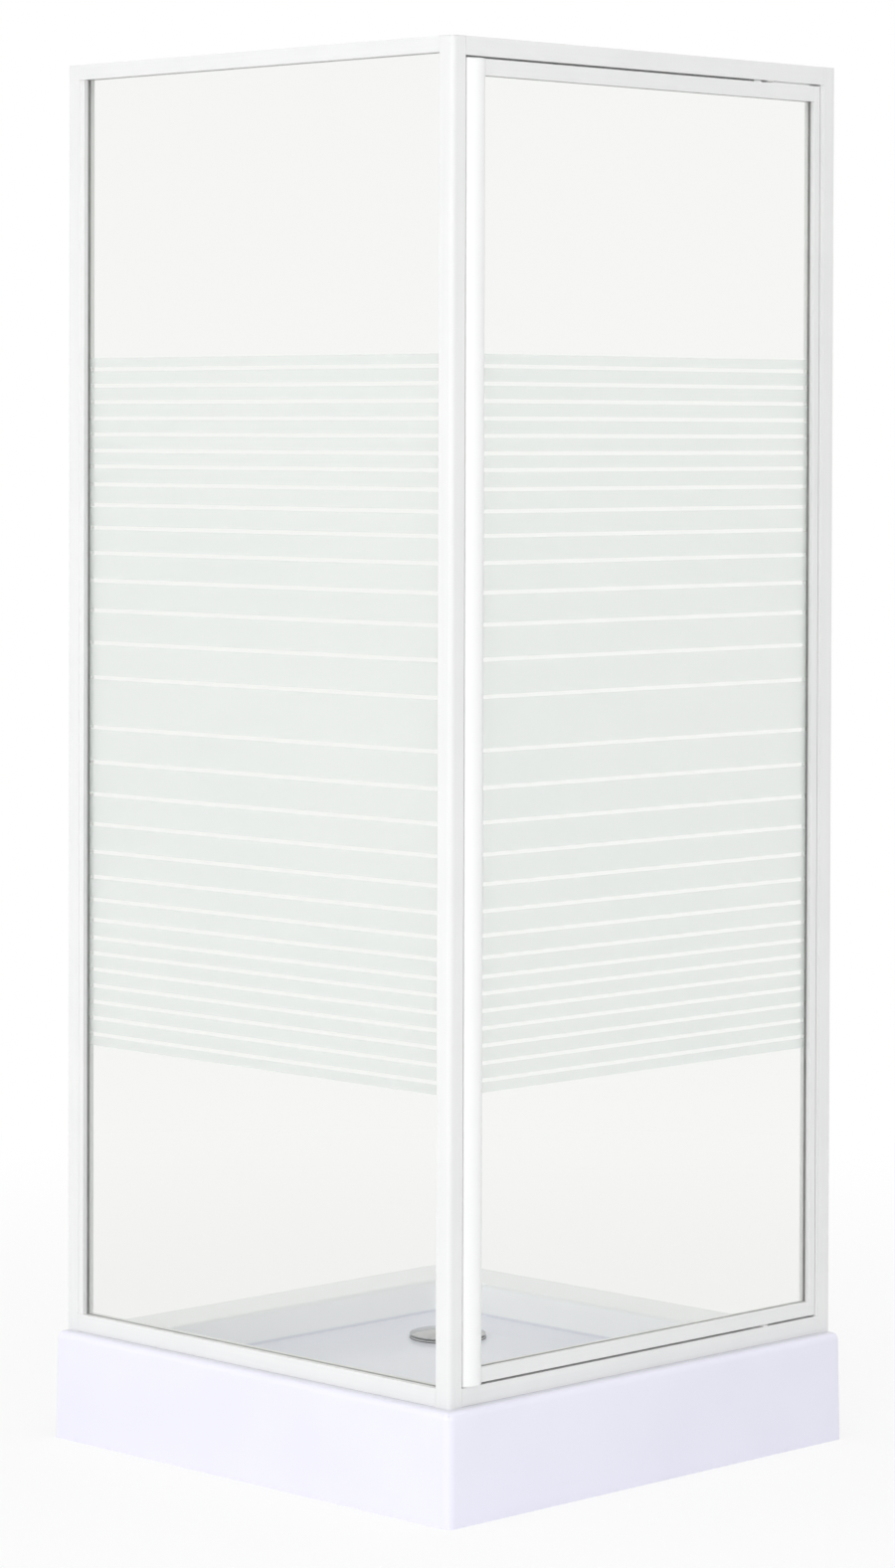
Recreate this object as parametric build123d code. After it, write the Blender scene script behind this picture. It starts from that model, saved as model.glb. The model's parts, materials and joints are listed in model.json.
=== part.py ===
from build123d import *
import os

# Pivot door shower enclosure on a low tray, for a corner whose walls stand on its +X and +Y sides.
# Frame: millimetres, Z up, origin on the floor under the middle of the tray. The fixed pane closes the
# -X side and the pivot door the -Y side. Both meet at the corner post near (-X, -Y).

# Tray, seen from above: the two open sides have drafted aprons, the two wall sides a short lip
TRAY_SIZE = 804
TRAY_HEIGHT = 154
APRON_DRAFT = 4
SHELL = 4
RIM_EDGE_RADIUS = 10
WALL_EDGE_RADIUS = 3
TRAY_CORNER_RADIUS = 12
WALL_LIP = 35
WALL_FOOT_BACK = 8
BASIN_LOW = -305
BASIN_HIGH = 307
BASIN_DEPTH = 45
BASIN_DRAFT = 14
BASIN_CORNER_RADIUS = 42
BASIN_EDGE_RADIUS = 7
FLOOR_FALL = 5
DRAIN_PLACE = 157
DRAIN_FLAT = 62

# Board, steel tubes and levelling feet under the tray
BOARD_HALF = 262
BOARD_THICKNESS = 15
BOARD_HOLE_MARGIN = 9
TUBE = 25
TUBE_WALL = 2
TUBE_PLACE = 235
FOOT_PLACE = 215
ROD_RADIUS = 6
ROD_FIT = 0.1
PAD_RADIUS = 23
PAD_HEIGHT = 8
PAD_FLOOR = 4
PAD_BOSS_RADIUS = 11
PAD_BOSS_TOP = 16
NUT_SIDES = 6
NUT_FLATS = 18
NUT_HEIGHT = 8
PLATE_HALF = 40
PLATE_THICKNESS = 3
BOSS_RADIUS = 11

# Waste with a dip tube trap
WASTE_HOLE_RADIUS = 45
WASTE_FLANGE_RADIUS = 56
WASTE_THREAD_RADIUS = 43.5
WASTE_THROAT_RADIUS = 40
WASTE_FACE = 2
SKIRT_LENGTH = 5
LEDGE_RADIUS = 37
LEDGE_RISE = 1
LEDGE_THICKNESS = 2
SEAL_THICKNESS = 1
BOWL_RADIUS = 49
BOWL_FLOOR = 36
BOWL_WALL = 3
COLLAR_THICKNESS = 6
SPIGOT_RADIUS = 20
SPIGOT_BORE = 17
SPIGOT_HEIGHT = 62
SPIGOT_SHOULDER = 210
SPIGOT_SHOULDER_RADIUS = 24
SPIGOT_END = 272
CUP_RADIUS = 30
CUP_WALL = 2.5
CUP_FLOOR = 50
CUP_LIFT = 0.3
CUP_RING = 2.7
CUP_RING_MARGIN = 1
COVER_RADIUS = 55.5
COVER_RISE = 5
COVER_THICKNESS = 2
COVER_EDGE_HEIGHT = 110.5
COVER_EDGE = 1.5
LEG_TURNS = (30, 150, 270)
LEG_WIDTH = 5
LEG_THICKNESS = 3
LEG_ROOT = 2

# Frame of white lacquered profiles
FRAME_SIDE = 780
FRAME_HEIGHT = 1830
DEPTH = 25
METAL = 1.5
POST_RADIUS = 6
FIXED_HEAD = 22
DOOR_HEAD = 26
SILL = 25
FIXED_CHANNEL = 22
DOOR_CHANNEL = 23
STOP_LIP = 12
STILE_SHOWS = 9
JAMB_SHOWS = 5
STILE_IN_CHANNEL = 10
CAP = 1.5
PLUG = 8
GROOVE_WIDTH = 8
GROOVE_DEPTH = 10
GLASS = 4
GASKET_FLOOR = 1.5
GASKET_LIP = 1

# Door leaf
GAP = 3
LEAF_DEPTH = 20
LEAF_TOP_RAIL = 22
LEAF_BOTTOM_RAIL = 20
HANDLE_STILE = 35
HANDLE_PROUD = 6.5
HANDLE_DROP = 2
HANDLE_GAP = 2
HINGE_STILE = 13
HINGE_GROOVE = 8
PIVOT_INSET = 135

# Pivots
PIN_RADIUS = 4
PIN_FIT = 0.05
PIN_REACH = 13.5
BUSH_RADIUS = 6
BUSH_FLANGE_RADIUS = 9
BUSH_FLANGE = 1.5
BUSH_LENGTH = 15
BUSH_END = 2
PIVOT_BLOCK_HALF = 15
LEAF_PIVOT_BLOCK_HALF = 14
THRUST_WASHER = 1.2
THRUST_WASHER_RADIUS = 8

# Soft strips and magnets
STRIP_HEAD = 1.5
STRIP_HEAD_WIDTH = 3.8
STRIP_NECK = 2
STRIP_INSET = 2
STRIP_REACH = 5
STRIP_PIVOT_GAP = 1
HINGE_SEAL_REACH = 2.2
HINGE_SEAL_WIDTH = 8
HINGE_SEAL_RADIUS = 1.5
SEAL_HEAD = 1.5
SEAL_HEAD_WIDTH = 5.5
SEAL_NECK = 2
SEAL_INSET = 3
SEAL_CLEARANCE = 0.6
SEAL_PIVOT_GAP = 2
MAGNET_DEPTH = 2
MAGNET_WIDTH = 8
MAGNET_END_GAP = 10
POST_MAGNET_GAP = 0.4

# Screws and their holes
SCREW_RADIUS = 1.7
SCREW_CLEARANCE = 0.1
HEAD_RADIUS = 3.6
HEAD = 2
FLAT_HEAD_RADIUS = 2.8
FLAT_HEAD = 1.2
WALL_HOLE_RADIUS = 2.75
WALL_HOLE_HEIGHTS = (254, 797, 1341, 1884)
STILE_SCREW_HEIGHTS = (404, 1069, 1734)

# Keys that join the rails to the uprights
KEY_IN_RAIL = 35
KEY_IN_CHANNEL = 12
KEY_IN_POST = 15
KEY_SCREW_INSET = 13
KEY_SCREW_REACH = 1
KEY_PLAY = 1
DOOR_KEY_HEIGHT = 8
DOOR_KEY_FRONT = 6
DOOR_KEY_BACK = 3
DOOR_HEAD_KEY_RISE = 4
DOOR_SILL_KEY_DROP = 6
FIXED_HEAD_KEY_HEIGHT = 7
FIXED_SILL_KEY_HEIGHT = 9
FIXED_SILL_KEY_RISE = 1.5
LEAF_KEY_IN_RAIL = 30
LEAF_KEY_WIDTH = 6
LEAF_SCREW_INSET = 12
LEAF_SCREW_FROM_FLOOR = 4
LEAF_SCREW_FROM_ROOF = 2
LEAF_BOTTOM_KEY_RISE = 1.7
LEAF_BOTTOM_KEY_DROP = 0.2

# Levels and places worked out from the sizes above
WALL = TRAY_SIZE / 2
FACE = WALL - FRAME_SIDE
INSIDE = FACE + DEPTH
MIDDLE = FACE + DEPTH / 2
RIM = TRAY_HEIGHT
TOP = RIM + FRAME_HEIGHT
SILL_TOP = RIM + SILL
FIXED_HEAD_UNDER = TOP - FIXED_HEAD
DOOR_HEAD_UNDER = TOP - DOOR_HEAD
LEAF_BOTTOM = SILL_TOP + GAP
LEAF_TOP = DOOR_HEAD_UNDER - GAP
LEAF_MIDDLE = FACE + LEAF_DEPTH / 2
LEAF_INSIDE = FACE + LEAF_DEPTH
FIXED_CHANNEL_MOUTH = WALL - FIXED_CHANNEL
DOOR_CHANNEL_MOUTH = WALL - DOOR_CHANNEL
STILE_MOUTH = FIXED_CHANNEL_MOUTH - STILE_SHOWS
JAMB_FACE = DOOR_CHANNEL_MOUTH - JAMB_SHOWS
HANDLE_EDGE = INSIDE + HANDLE_GAP
HANDLE_MOUTH = HANDLE_EDGE + HANDLE_STILE
HINGE_EDGE = JAMB_FACE - GAP
HINGE_MOUTH = HINGE_EDGE - HINGE_STILE
PIVOT = WALL - PIVOT_INSET
FLOOR_LEVEL = TRAY_HEIGHT - BASIN_DEPTH
DRAIN_LEVEL = FLOOR_LEVEL - FLOOR_FALL
BOARD_TOP = DRAIN_LEVEL - SHELL
BOARD_UNDER = BOARD_TOP - BOARD_THICKNESS
TUBE_UNDER = BOARD_UNDER - TUBE
BITE = GROOVE_DEPTH - GASKET_FLOOR
SEAL_UNDER = DRAIN_LEVEL - SHELL - SEAL_THICKNESS
FLANGE_UNDER = DRAIN_LEVEL + SEAL_THICKNESS
LEDGE_TOP = SEAL_UNDER + LEDGE_RISE
CUP_REST = LEDGE_TOP + CUP_LIFT
CUP_TOP = CUP_REST + CUP_RING
KEY_SCREW_TIP = MIDDLE - KEY_SCREW_REACH
DOOR_KEY_Y = (LEAF_MIDDLE - DOOR_KEY_FRONT, LEAF_MIDDLE + DOOR_KEY_BACK)
HEAD_KEY_LOW = DOOR_HEAD_UNDER + DOOR_HEAD_KEY_RISE
HEAD_KEY_Z = (HEAD_KEY_LOW, HEAD_KEY_LOW + DOOR_KEY_HEIGHT)
SILL_KEY_HIGH = SILL_TOP - DOOR_SILL_KEY_DROP
SILL_KEY_Z = (SILL_KEY_HIGH - DOOR_KEY_HEIGHT, SILL_KEY_HIGH)
FIXED_KEY_X = (MIDDLE - (GROOVE_WIDTH - KEY_PLAY) / 2, MIDDLE + (GROOVE_WIDTH - KEY_PLAY) / 2)
FIXED_KEY_TONGUE = INSIDE - GROOVE_DEPTH + KEY_PLAY
FIXED_HEAD_KEY_HIGH = TOP - METAL - KEY_PLAY
FIXED_HEAD_KEY_Z = (FIXED_HEAD_KEY_HIGH - FIXED_HEAD_KEY_HEIGHT, FIXED_HEAD_KEY_HIGH)
FIXED_SILL_KEY_LOW = RIM + METAL + FIXED_SILL_KEY_RISE
FIXED_SILL_KEY_Z = (FIXED_SILL_KEY_LOW, FIXED_SILL_KEY_LOW + FIXED_SILL_KEY_HEIGHT)
STRIP_NECK_Y = (INSIDE - STRIP_INSET - STRIP_NECK, INSIDE - STRIP_INSET)
STRIP_HEAD_HIGH = INSIDE - METAL - SCREW_CLEARANCE
STRIP_HEAD_Y = (STRIP_HEAD_HIGH - STRIP_HEAD_WIDTH, STRIP_HEAD_HIGH)
MAGNET_Z = (SILL_TOP + MAGNET_END_GAP, DOOR_HEAD_UNDER - MAGNET_END_GAP - 1)
LEAF_TOP_CHAMBER = (LEAF_TOP - LEAF_TOP_RAIL + GROOVE_DEPTH + METAL, LEAF_TOP - METAL)
LEAF_BOTTOM_CHAMBER = (LEAF_BOTTOM + METAL, LEAF_BOTTOM + LEAF_BOTTOM_RAIL - GROOVE_DEPTH - METAL)
LEAF_KEY_Y = (LEAF_MIDDLE - LEAF_KEY_WIDTH / 2, LEAF_MIDDLE + LEAF_KEY_WIDTH / 2)
LEAF_TOP_KEY_Z = (LEAF_TOP_CHAMBER[0] + KEY_PLAY, LEAF_TOP_CHAMBER[1] - KEY_PLAY)
LEAF_BOTTOM_KEY_LOW = LEAF_BOTTOM_CHAMBER[0] + LEAF_BOTTOM_KEY_RISE
LEAF_BOTTOM_KEY_Z = (LEAF_BOTTOM_KEY_LOW, LEAF_BOTTOM_CHAMBER[1] - LEAF_BOTTOM_KEY_DROP)
LEAF_SCREW_TOP = LEAF_TOP_CHAMBER[0] + LEAF_SCREW_FROM_FLOOR
LEAF_SCREW_BOTTOM = LEAF_BOTTOM_CHAMBER[1] - LEAF_SCREW_FROM_ROOF
SEAL_NECK_Y = (LEAF_INSIDE - SEAL_INSET - SEAL_NECK, LEAF_INSIDE - SEAL_INSET)
SEAL_HEAD_Y = (LEAF_INSIDE - METAL - SEAL_HEAD_WIDTH, LEAF_INSIDE - METAL)
MAGNET_X = (HANDLE_EDGE + KEY_PLAY, HANDLE_EDGE + KEY_PLAY + MAGNET_WIDTH)


def block(x, y, z):
    """Box given by its low and high value along each axis."""
    spans = (x, y, z)
    centre = [(low + high) / 2 for low, high in spans]
    size = [high - low for low, high in spans]
    return Pos(*centre) * Box(*size)


def around(middle, width):
    """Low and high value of a span about its middle."""
    return (middle - width / 2, middle + width / 2)


def upright(x, y, z, radius):
    """Cylinder along Z between two heights."""
    low, high = z
    return Pos(x, y, (low + high) / 2) * Cylinder(radius, high - low)


def ring(x, y, z, outer, inner):
    """Upright tube between two heights."""
    return upright(x, y, z, outer) - upright(x, y, z, inner)


def along_x(x, y, z, radius):
    """Cylinder along X."""
    low, high = x
    return Pos((low + high) / 2, y, z) * Rot(0, 90, 0) * Cylinder(radius, high - low)


def along_y(x, y, z, radius):
    """Cylinder along Y."""
    low, high = y
    return Pos(x, (low + high) / 2, z) * Rot(90, 0, 0) * Cylinder(radius, high - low)


def group(pieces):
    """Separate solids that share a node."""
    return Compound(children=[solid for piece in pieces for solid in piece.solids()])


def profile(section, start, across, run, length):
    """Section drawn with its X across the profile and pushed out along the run."""
    plane = Plane(origin=start, x_dir=across, z_dir=run)
    return extrude(plane * section, amount=length)


def span_rectangle(width, low, high):
    """Rectangle centred on X between two values of Y."""
    return Pos(0, (low + high) / 2) * Rectangle(width, high - low)


def glazing_section(depth, height, groove_depth):
    """Hollow profile with its back at Y = 0 and the mouth of its glass groove at Y = height."""
    outer = span_rectangle(depth, 0, height)
    hollow = span_rectangle(depth - 2 * METAL, METAL, height - METAL)
    groove_floor = height - groove_depth
    groove_walls = span_rectangle(GROOVE_WIDTH + 2 * METAL, groove_floor - METAL, height)
    groove = span_rectangle(GROOVE_WIDTH, groove_floor, height)
    return outer - (hollow - groove_walls) - groove


def gasket_section(groove_depth):
    """U of soft PVC round the edge of the glass, floor of the groove at Y = 0."""
    outer = span_rectangle(GROOVE_WIDTH, 0, groove_depth + GASKET_LIP)
    slot = span_rectangle(GLASS, GASKET_FLOOR, groove_depth + GASKET_LIP)
    return outer - slot


def rounded_square(low, high, radius, level):
    """Square outline with round corners, the same span along X and Y, at a level."""
    middle = (low + high) / 2
    side = high - low
    return Pos(middle, middle, level) * RectangleRounded(side, side, radius)


# Tray, board and feet


def basin_space(grow, drop):
    """Space of the basin, grown sideways and lowered: walls, then the floor that falls to the drain."""
    low = BASIN_LOW - grow
    high = BASIN_HIGH + grow
    radius = BASIN_CORNER_RADIUS + grow
    floor_radius = radius - BASIN_DRAFT / 2
    mouth = rounded_square(low, high, radius, TRAY_HEIGHT)
    floor = rounded_square(low + BASIN_DRAFT, high - BASIN_DRAFT, floor_radius, FLOOR_LEVEL - drop)
    drain_low = DRAIN_PLACE - DRAIN_FLAT
    drain_high = DRAIN_PLACE + DRAIN_FLAT
    drain = rounded_square(drain_low, drain_high, floor_radius / 2, DRAIN_LEVEL - drop)
    walls = loft([mouth, floor], ruled=True)
    fall = loft([floor, drain], ruled=True)
    return walls + fall


def nearest_edges(body, points):
    """Edge of a body nearest to each point."""
    return [body.edges().sort_by_distance(point)[0] for point in points]


def tray_block(inset):
    """Drafted block of the tray: foot outline to rim outline, both set in by a wall thickness."""
    half = TRAY_SIZE / 2
    rim_low = APRON_DRAFT - half
    middle = (rim_low + half) / 2
    foot_side = TRAY_SIZE - 2 * inset
    rim_side = half - rim_low - 2 * inset
    foot = Rectangle(foot_side, foot_side)
    rim = Pos(middle, middle, TRAY_HEIGHT - inset) * Rectangle(rim_side, rim_side)
    return loft([foot, rim], ruled=True)


def is_basin_mouth(edge):
    """True for an edge of the rim that goes round the basin."""
    box = edge.bounding_box()
    outside = (min(box.min.X, box.min.Y) < BASIN_LOW - 1) or (max(box.max.X, box.max.Y) > BASIN_HIGH + 1)
    return box.min.Z > TRAY_HEIGHT - 1 and not outside


def tray_shell():
    """Thermoformed acrylic tray: drafted aprons, wide rim, basin and the round hole for the waste."""
    half = TRAY_SIZE / 2
    rim_low = APRON_DRAFT - half
    body = tray_block(0)
    body = fillet(nearest_edges(body, [(-half, -half, TRAY_HEIGHT / 2)]), TRAY_CORNER_RADIUS)
    open_sides = [(0, rim_low, TRAY_HEIGHT), (rim_low, 0, TRAY_HEIGHT), (rim_low, rim_low, TRAY_HEIGHT)]
    body = fillet(nearest_edges(body, open_sides), RIM_EDGE_RADIUS)
    wall_sides = [(0, half, TRAY_HEIGHT), (half, 0, TRAY_HEIGHT)]
    body = fillet(nearest_edges(body, wall_sides), WALL_EDGE_RADIUS)
    underside = tray_block(SHELL) - basin_space(SHELL, SHELL)
    body = body - underside - basin_space(0, 0)
    body = body - upright(DRAIN_PLACE, DRAIN_PLACE, (0, TRAY_HEIGHT), WASTE_HOLE_RADIUS)
    lip_z = (-SHELL, TRAY_HEIGHT - WALL_LIP)
    across = (half - WALL_FOOT_BACK, half + SHELL)
    along = (SHELL + APRON_DRAFT - half, half + SHELL)
    body = body - block(across, along, lip_z) - block(along, across, lip_z)
    return fillet([edge for edge in body.edges() if is_basin_mouth(edge)], BASIN_EDGE_RADIUS)


def tray_base_board():
    """Moisture proof board bonded under the basin floor, open round the waste."""
    span = (-BOARD_HALF, BOARD_HALF)
    board = block(span, span, (BOARD_UNDER, BOARD_TOP))
    hole_radius = WASTE_FLANGE_RADIUS + BOARD_HOLE_MARGIN
    return board - upright(DRAIN_PLACE, DRAIN_PLACE, (BOARD_UNDER, BOARD_TOP), hole_radius)


def foot_places():
    """Four feet in the tubes and one under the middle of the board."""
    corners = [(x, y) for x in (-TUBE_PLACE, TUBE_PLACE) for y in (-FOOT_PLACE, FOOT_PLACE)]
    return corners + [(0, 0)]


def foot_bars():
    """Two square steel tubes under the board, drilled for the threaded rods."""
    bars = []
    for x in (-TUBE_PLACE, TUBE_PLACE):
        outer = block(around(x, TUBE), (-BOARD_HALF, BOARD_HALF), (TUBE_UNDER, BOARD_UNDER))
        bore_side = TUBE - 2 * TUBE_WALL
        bore_z = (TUBE_UNDER + TUBE_WALL, BOARD_UNDER - TUBE_WALL)
        bore = block(around(x, bore_side), (-BOARD_HALF, BOARD_HALF), bore_z)
        bar = outer - bore
        for y in (-FOOT_PLACE, FOOT_PLACE):
            bar = bar - upright(x, y, (TUBE_UNDER, BOARD_UNDER), ROD_RADIUS + ROD_FIT)
        bars.append(bar)
    return group(bars)


def centre_foot_plate():
    """Steel plate under the middle of the board with a welded boss for its rod."""
    span = (-PLATE_HALF, PLATE_HALF)
    plate = block(span, span, (BOARD_UNDER - PLATE_THICKNESS, BOARD_UNDER))
    boss = upright(0, 0, (TUBE_UNDER, BOARD_UNDER - PLATE_THICKNESS), BOSS_RADIUS)
    bore = upright(0, 0, (TUBE_UNDER, BOARD_UNDER), ROD_RADIUS + ROD_FIT)
    return plate + boss - bore


def foot_rods():
    """Threaded rods of the levelling feet."""
    return group([upright(x, y, (PAD_FLOOR, BOARD_UNDER), ROD_RADIUS) for x, y in foot_places()])


def foot_pads():
    """Moulded pads: a round foot with a boss that takes the end of the rod."""
    pads = []
    for x, y in foot_places():
        pad = upright(x, y, (0, PAD_HEIGHT), PAD_RADIUS)
        boss = upright(x, y, (PAD_HEIGHT, PAD_BOSS_TOP), PAD_BOSS_RADIUS)
        pads.append(pad + boss - upright(x, y, (PAD_FLOOR, PAD_BOSS_TOP), ROD_RADIUS))
    return group(pads)


def foot_lock_nuts():
    """Hexagon nuts run up under the tubes and the middle boss."""
    nuts = []
    for x, y in foot_places():
        hexagon = RegularPolygon(NUT_FLATS / 2, NUT_SIDES, major_radius=False)
        nut = extrude(Pos(x, y, TUBE_UNDER - NUT_HEIGHT) * hexagon, amount=NUT_HEIGHT)
        nuts.append(nut - upright(x, y, (TUBE_UNDER - NUT_HEIGHT, TUBE_UNDER), ROD_RADIUS))
    return group(nuts)


# Waste


def waste_ring(z, outer, inner):
    """Ring about the waste axis."""
    return ring(DRAIN_PLACE, DRAIN_PLACE, z, outer, inner)


def waste_body():
    """Trap bowl under the tray, flanged for its washer, with a spigot that has a shoulder for the pipe."""
    bowl = upright(DRAIN_PLACE, DRAIN_PLACE, (BOWL_FLOOR, SEAL_UNDER), BOWL_RADIUS)
    collar_z = (SEAL_UNDER - COLLAR_THICKNESS, SEAL_UNDER)
    collar = upright(DRAIN_PLACE, DRAIN_PLACE, collar_z, WASTE_FLANGE_RADIUS)
    spigot = along_y(DRAIN_PLACE, (DRAIN_PLACE, SPIGOT_END), SPIGOT_HEIGHT, SPIGOT_RADIUS)
    spigot_bore = along_y(DRAIN_PLACE, (DRAIN_PLACE, SPIGOT_END), SPIGOT_HEIGHT, SPIGOT_BORE)
    inside_z = (BOWL_FLOOR + BOWL_WALL, SEAL_UNDER)
    bowl_inside = upright(DRAIN_PLACE, DRAIN_PLACE, inside_z, WASTE_THREAD_RADIUS)
    shoulder_y = (DRAIN_PLACE, SPIGOT_SHOULDER)
    shoulder = along_y(DRAIN_PLACE, shoulder_y, SPIGOT_HEIGHT, SPIGOT_SHOULDER_RADIUS)
    return bowl + collar + shoulder + spigot - spigot_bore - bowl_inside


def waste_flange():
    """Ring on the tray floor whose threaded skirt screws into the bowl, with a ledge for the trap cup."""
    face_z = (FLANGE_UNDER, FLANGE_UNDER + WASTE_FACE)
    face = waste_ring(face_z, WASTE_FLANGE_RADIUS, WASTE_THROAT_RADIUS)
    skirt = waste_ring((SEAL_UNDER - SKIRT_LENGTH, FLANGE_UNDER), WASTE_THREAD_RADIUS, WASTE_THROAT_RADIUS)
    ledge = waste_ring((LEDGE_TOP - LEDGE_THICKNESS, LEDGE_TOP), WASTE_THROAT_RADIUS, LEDGE_RADIUS)
    return face + skirt + ledge


def waste_upper_seal():
    """Rubber washer between the ring and the tray floor."""
    return waste_ring((DRAIN_LEVEL, FLANGE_UNDER), WASTE_FLANGE_RADIUS, WASTE_HOLE_RADIUS)


def waste_lower_seal():
    """Rubber washer between the tray floor and the bowl."""
    return waste_ring((SEAL_UNDER, SEAL_UNDER + SEAL_THICKNESS), WASTE_FLANGE_RADIUS, WASTE_HOLE_RADIUS)


def trap_cup():
    """Dip tube that hangs in the bowl and makes the water seal. It lifts out with the cover."""
    tube = waste_ring((CUP_FLOOR, CUP_TOP), CUP_RADIUS, CUP_RADIUS - CUP_WALL)
    hung = waste_ring((CUP_REST, CUP_TOP), WASTE_THROAT_RADIUS - CUP_RING_MARGIN, CUP_RADIUS)
    return tube + hung


def waste_cover():
    """Shallow dome over the throat: a slice of a spherical shell on three short legs."""
    sphere_radius = (COVER_RADIUS ** 2 + COVER_RISE ** 2) / (2 * COVER_RISE)
    centre_level = COVER_EDGE_HEIGHT + COVER_RISE - sphere_radius
    centre = Pos(DRAIN_PLACE, DRAIN_PLACE, centre_level)
    shell = centre * Sphere(sphere_radius) - centre * Sphere(sphere_radius - COVER_THICKNESS)
    dome_z = (COVER_EDGE_HEIGHT - COVER_EDGE, TRAY_HEIGHT)
    cover = shell & upright(DRAIN_PLACE, DRAIN_PLACE, dome_z, COVER_RADIUS)
    leg_place = (CUP_RADIUS + LEDGE_RADIUS) / 2
    leg_z = (CUP_TOP, COVER_EDGE_HEIGHT + LEG_ROOT)
    leg = block(around(leg_place, LEG_WIDTH), around(0, LEG_THICKNESS), leg_z)
    under_dome = centre * Sphere(sphere_radius - COVER_THICKNESS / 2)
    for turn in LEG_TURNS:
        cover = cover + (Pos(DRAIN_PLACE, DRAIN_PLACE, 0) * Rot(0, 0, turn) * leg & under_dome)
    return cover


# Fixed frame


def corner_post():
    """Square post with one round corner, a glass groove for the fixed pane and a lip that stops the door."""
    square = block((FACE, INSIDE), (FACE, INSIDE), (RIM, TOP - CAP))
    outer = fillet(square.edges().sort_by_distance((FACE, FACE, TOP / 2))[0], POST_RADIUS)
    inner = block((FACE + METAL, INSIDE - METAL), (FACE + METAL, INSIDE - METAL), (RIM, TOP - CAP))
    inner = fillet(inner.edges().sort_by_distance((FACE, FACE, TOP / 2))[0], POST_RADIUS - METAL)
    groove_floor = INSIDE - GROOVE_DEPTH
    wall_x = around(MIDDLE, GROOVE_WIDTH + 2 * METAL)
    walls = block(wall_x, (groove_floor - METAL, INSIDE), (RIM, TOP - CAP))
    groove = block(around(MIDDLE, GROOVE_WIDTH), (groove_floor, INSIDE), (RIM, TOP - CAP))
    lip = block((INSIDE, INSIDE + STOP_LIP), (INSIDE - METAL, INSIDE), (SILL_TOP, DOOR_HEAD_UNDER))
    post = outer - (inner - walls) - groove + lip
    for key_z in (HEAD_KEY_Z, SILL_KEY_Z):
        post = post - block((INSIDE - METAL, INSIDE), DOOR_KEY_Y, key_z)
    return post


def corner_post_cap():
    """Moulded cap pressed into the top of the post."""
    plate = block((FACE, INSIDE), (FACE, INSIDE), (TOP - CAP, TOP))
    plate = fillet(nearest_edges(plate, [(FACE, FACE, TOP - CAP / 2)]), POST_RADIUS)
    plug_y = (FACE + POST_RADIUS, INSIDE - GROOVE_DEPTH - METAL)
    plug = block((FACE + POST_RADIUS, INSIDE - METAL), plug_y, (TOP - CAP - PLUG, TOP - CAP))
    return plate + plug


def wall_channel(mouth):
    """Channel screwed to a wall, open towards the frame. Drawn along X, back on the wall plane."""
    outer = block((mouth, WALL), (FACE, INSIDE), (RIM, TOP - CAP))
    space = block((mouth, WALL - METAL), (FACE + METAL, INSIDE - METAL), (RIM, TOP - CAP))
    channel = outer - space
    for height in WALL_HOLE_HEIGHTS:
        channel = channel - along_x((WALL - METAL, WALL), MIDDLE, height, WALL_HOLE_RADIUS)
    for height in STILE_SCREW_HEIGHTS:
        channel = channel - stile_screw_hole(mouth, height)
    return channel


def stile_screw_hole(mouth, height):
    """Hole from inside the shower through the channel and the profile pushed into it."""
    x = mouth + STILE_IN_CHANNEL / 2
    return along_y(x, (INSIDE - 2 * METAL, INSIDE), height, SCREW_RADIUS + SCREW_CLEARANCE)


def swap_sides(piece):
    """Same piece on the other glazed side: X and Y change places."""
    return piece.mirror(Plane(origin=(0, 0, 0), z_dir=(1, -1, 0)))


def door_wall_profile():
    """Wall channel of the door side."""
    return wall_channel(DOOR_CHANNEL_MOUTH)


def fixed_wall_profile():
    """Wall channel of the fixed side."""
    return swap_sides(wall_channel(FIXED_CHANNEL_MOUTH))


def wall_profile_caps():
    """Moulded caps that close the tops of the two wall channels."""
    caps = []
    for mouth in (DOOR_CHANNEL_MOUTH, FIXED_CHANNEL_MOUTH):
        plate = block((mouth, WALL), (FACE, INSIDE), (TOP - CAP, TOP))
        plug_x = (mouth + KEY_IN_CHANNEL + KEY_PLAY, WALL - METAL)
        plug = block(plug_x, (FACE + METAL, INSIDE - METAL), (TOP - CAP - PLUG, TOP - CAP))
        caps.append(plate + plug)
    return group([caps[0], swap_sides(caps[1])])


def fixed_wall_stile():
    """Adjusting stile of the fixed pane. It slides in the wall channel and holds the glass."""
    back = FIXED_CHANNEL_MOUTH + STILE_IN_CHANNEL
    section = glazing_section(DEPTH - 2 * METAL, back - STILE_MOUTH, GROOVE_DEPTH)
    length = FIXED_HEAD_UNDER - SILL_TOP
    stile = profile(section, (MIDDLE, back, SILL_TOP), (-1, 0, 0), (0, 0, 1), length)
    for height in STILE_SCREW_HEIGHTS:
        stile = stile - swap_sides(stile_screw_hole(FIXED_CHANNEL_MOUTH, height))
    return stile


def fixed_rail(back_level, height, across):
    """Rail of the fixed pane from the post to the wall channel, its glass groove facing the pane."""
    section = glazing_section(DEPTH, height, GROOVE_DEPTH)
    length = FIXED_CHANNEL_MOUTH - INSIDE
    return profile(section, (MIDDLE, INSIDE, back_level), (across, 0, 0), (0, 1, 0), length)


def fixed_top_rail():
    """Head of the fixed pane."""
    rail = fixed_rail(TOP, FIXED_HEAD, 1)
    return rail - key_screw_holes(fixed_key_screw_places(sum(FIXED_HEAD_KEY_Z) / 2))


def fixed_bottom_rail():
    """Foot of the fixed pane, on the tray rim."""
    rail = fixed_rail(RIM, SILL, -1)
    return rail - key_screw_holes(fixed_key_screw_places(sum(FIXED_SILL_KEY_Z) / 2))


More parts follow.
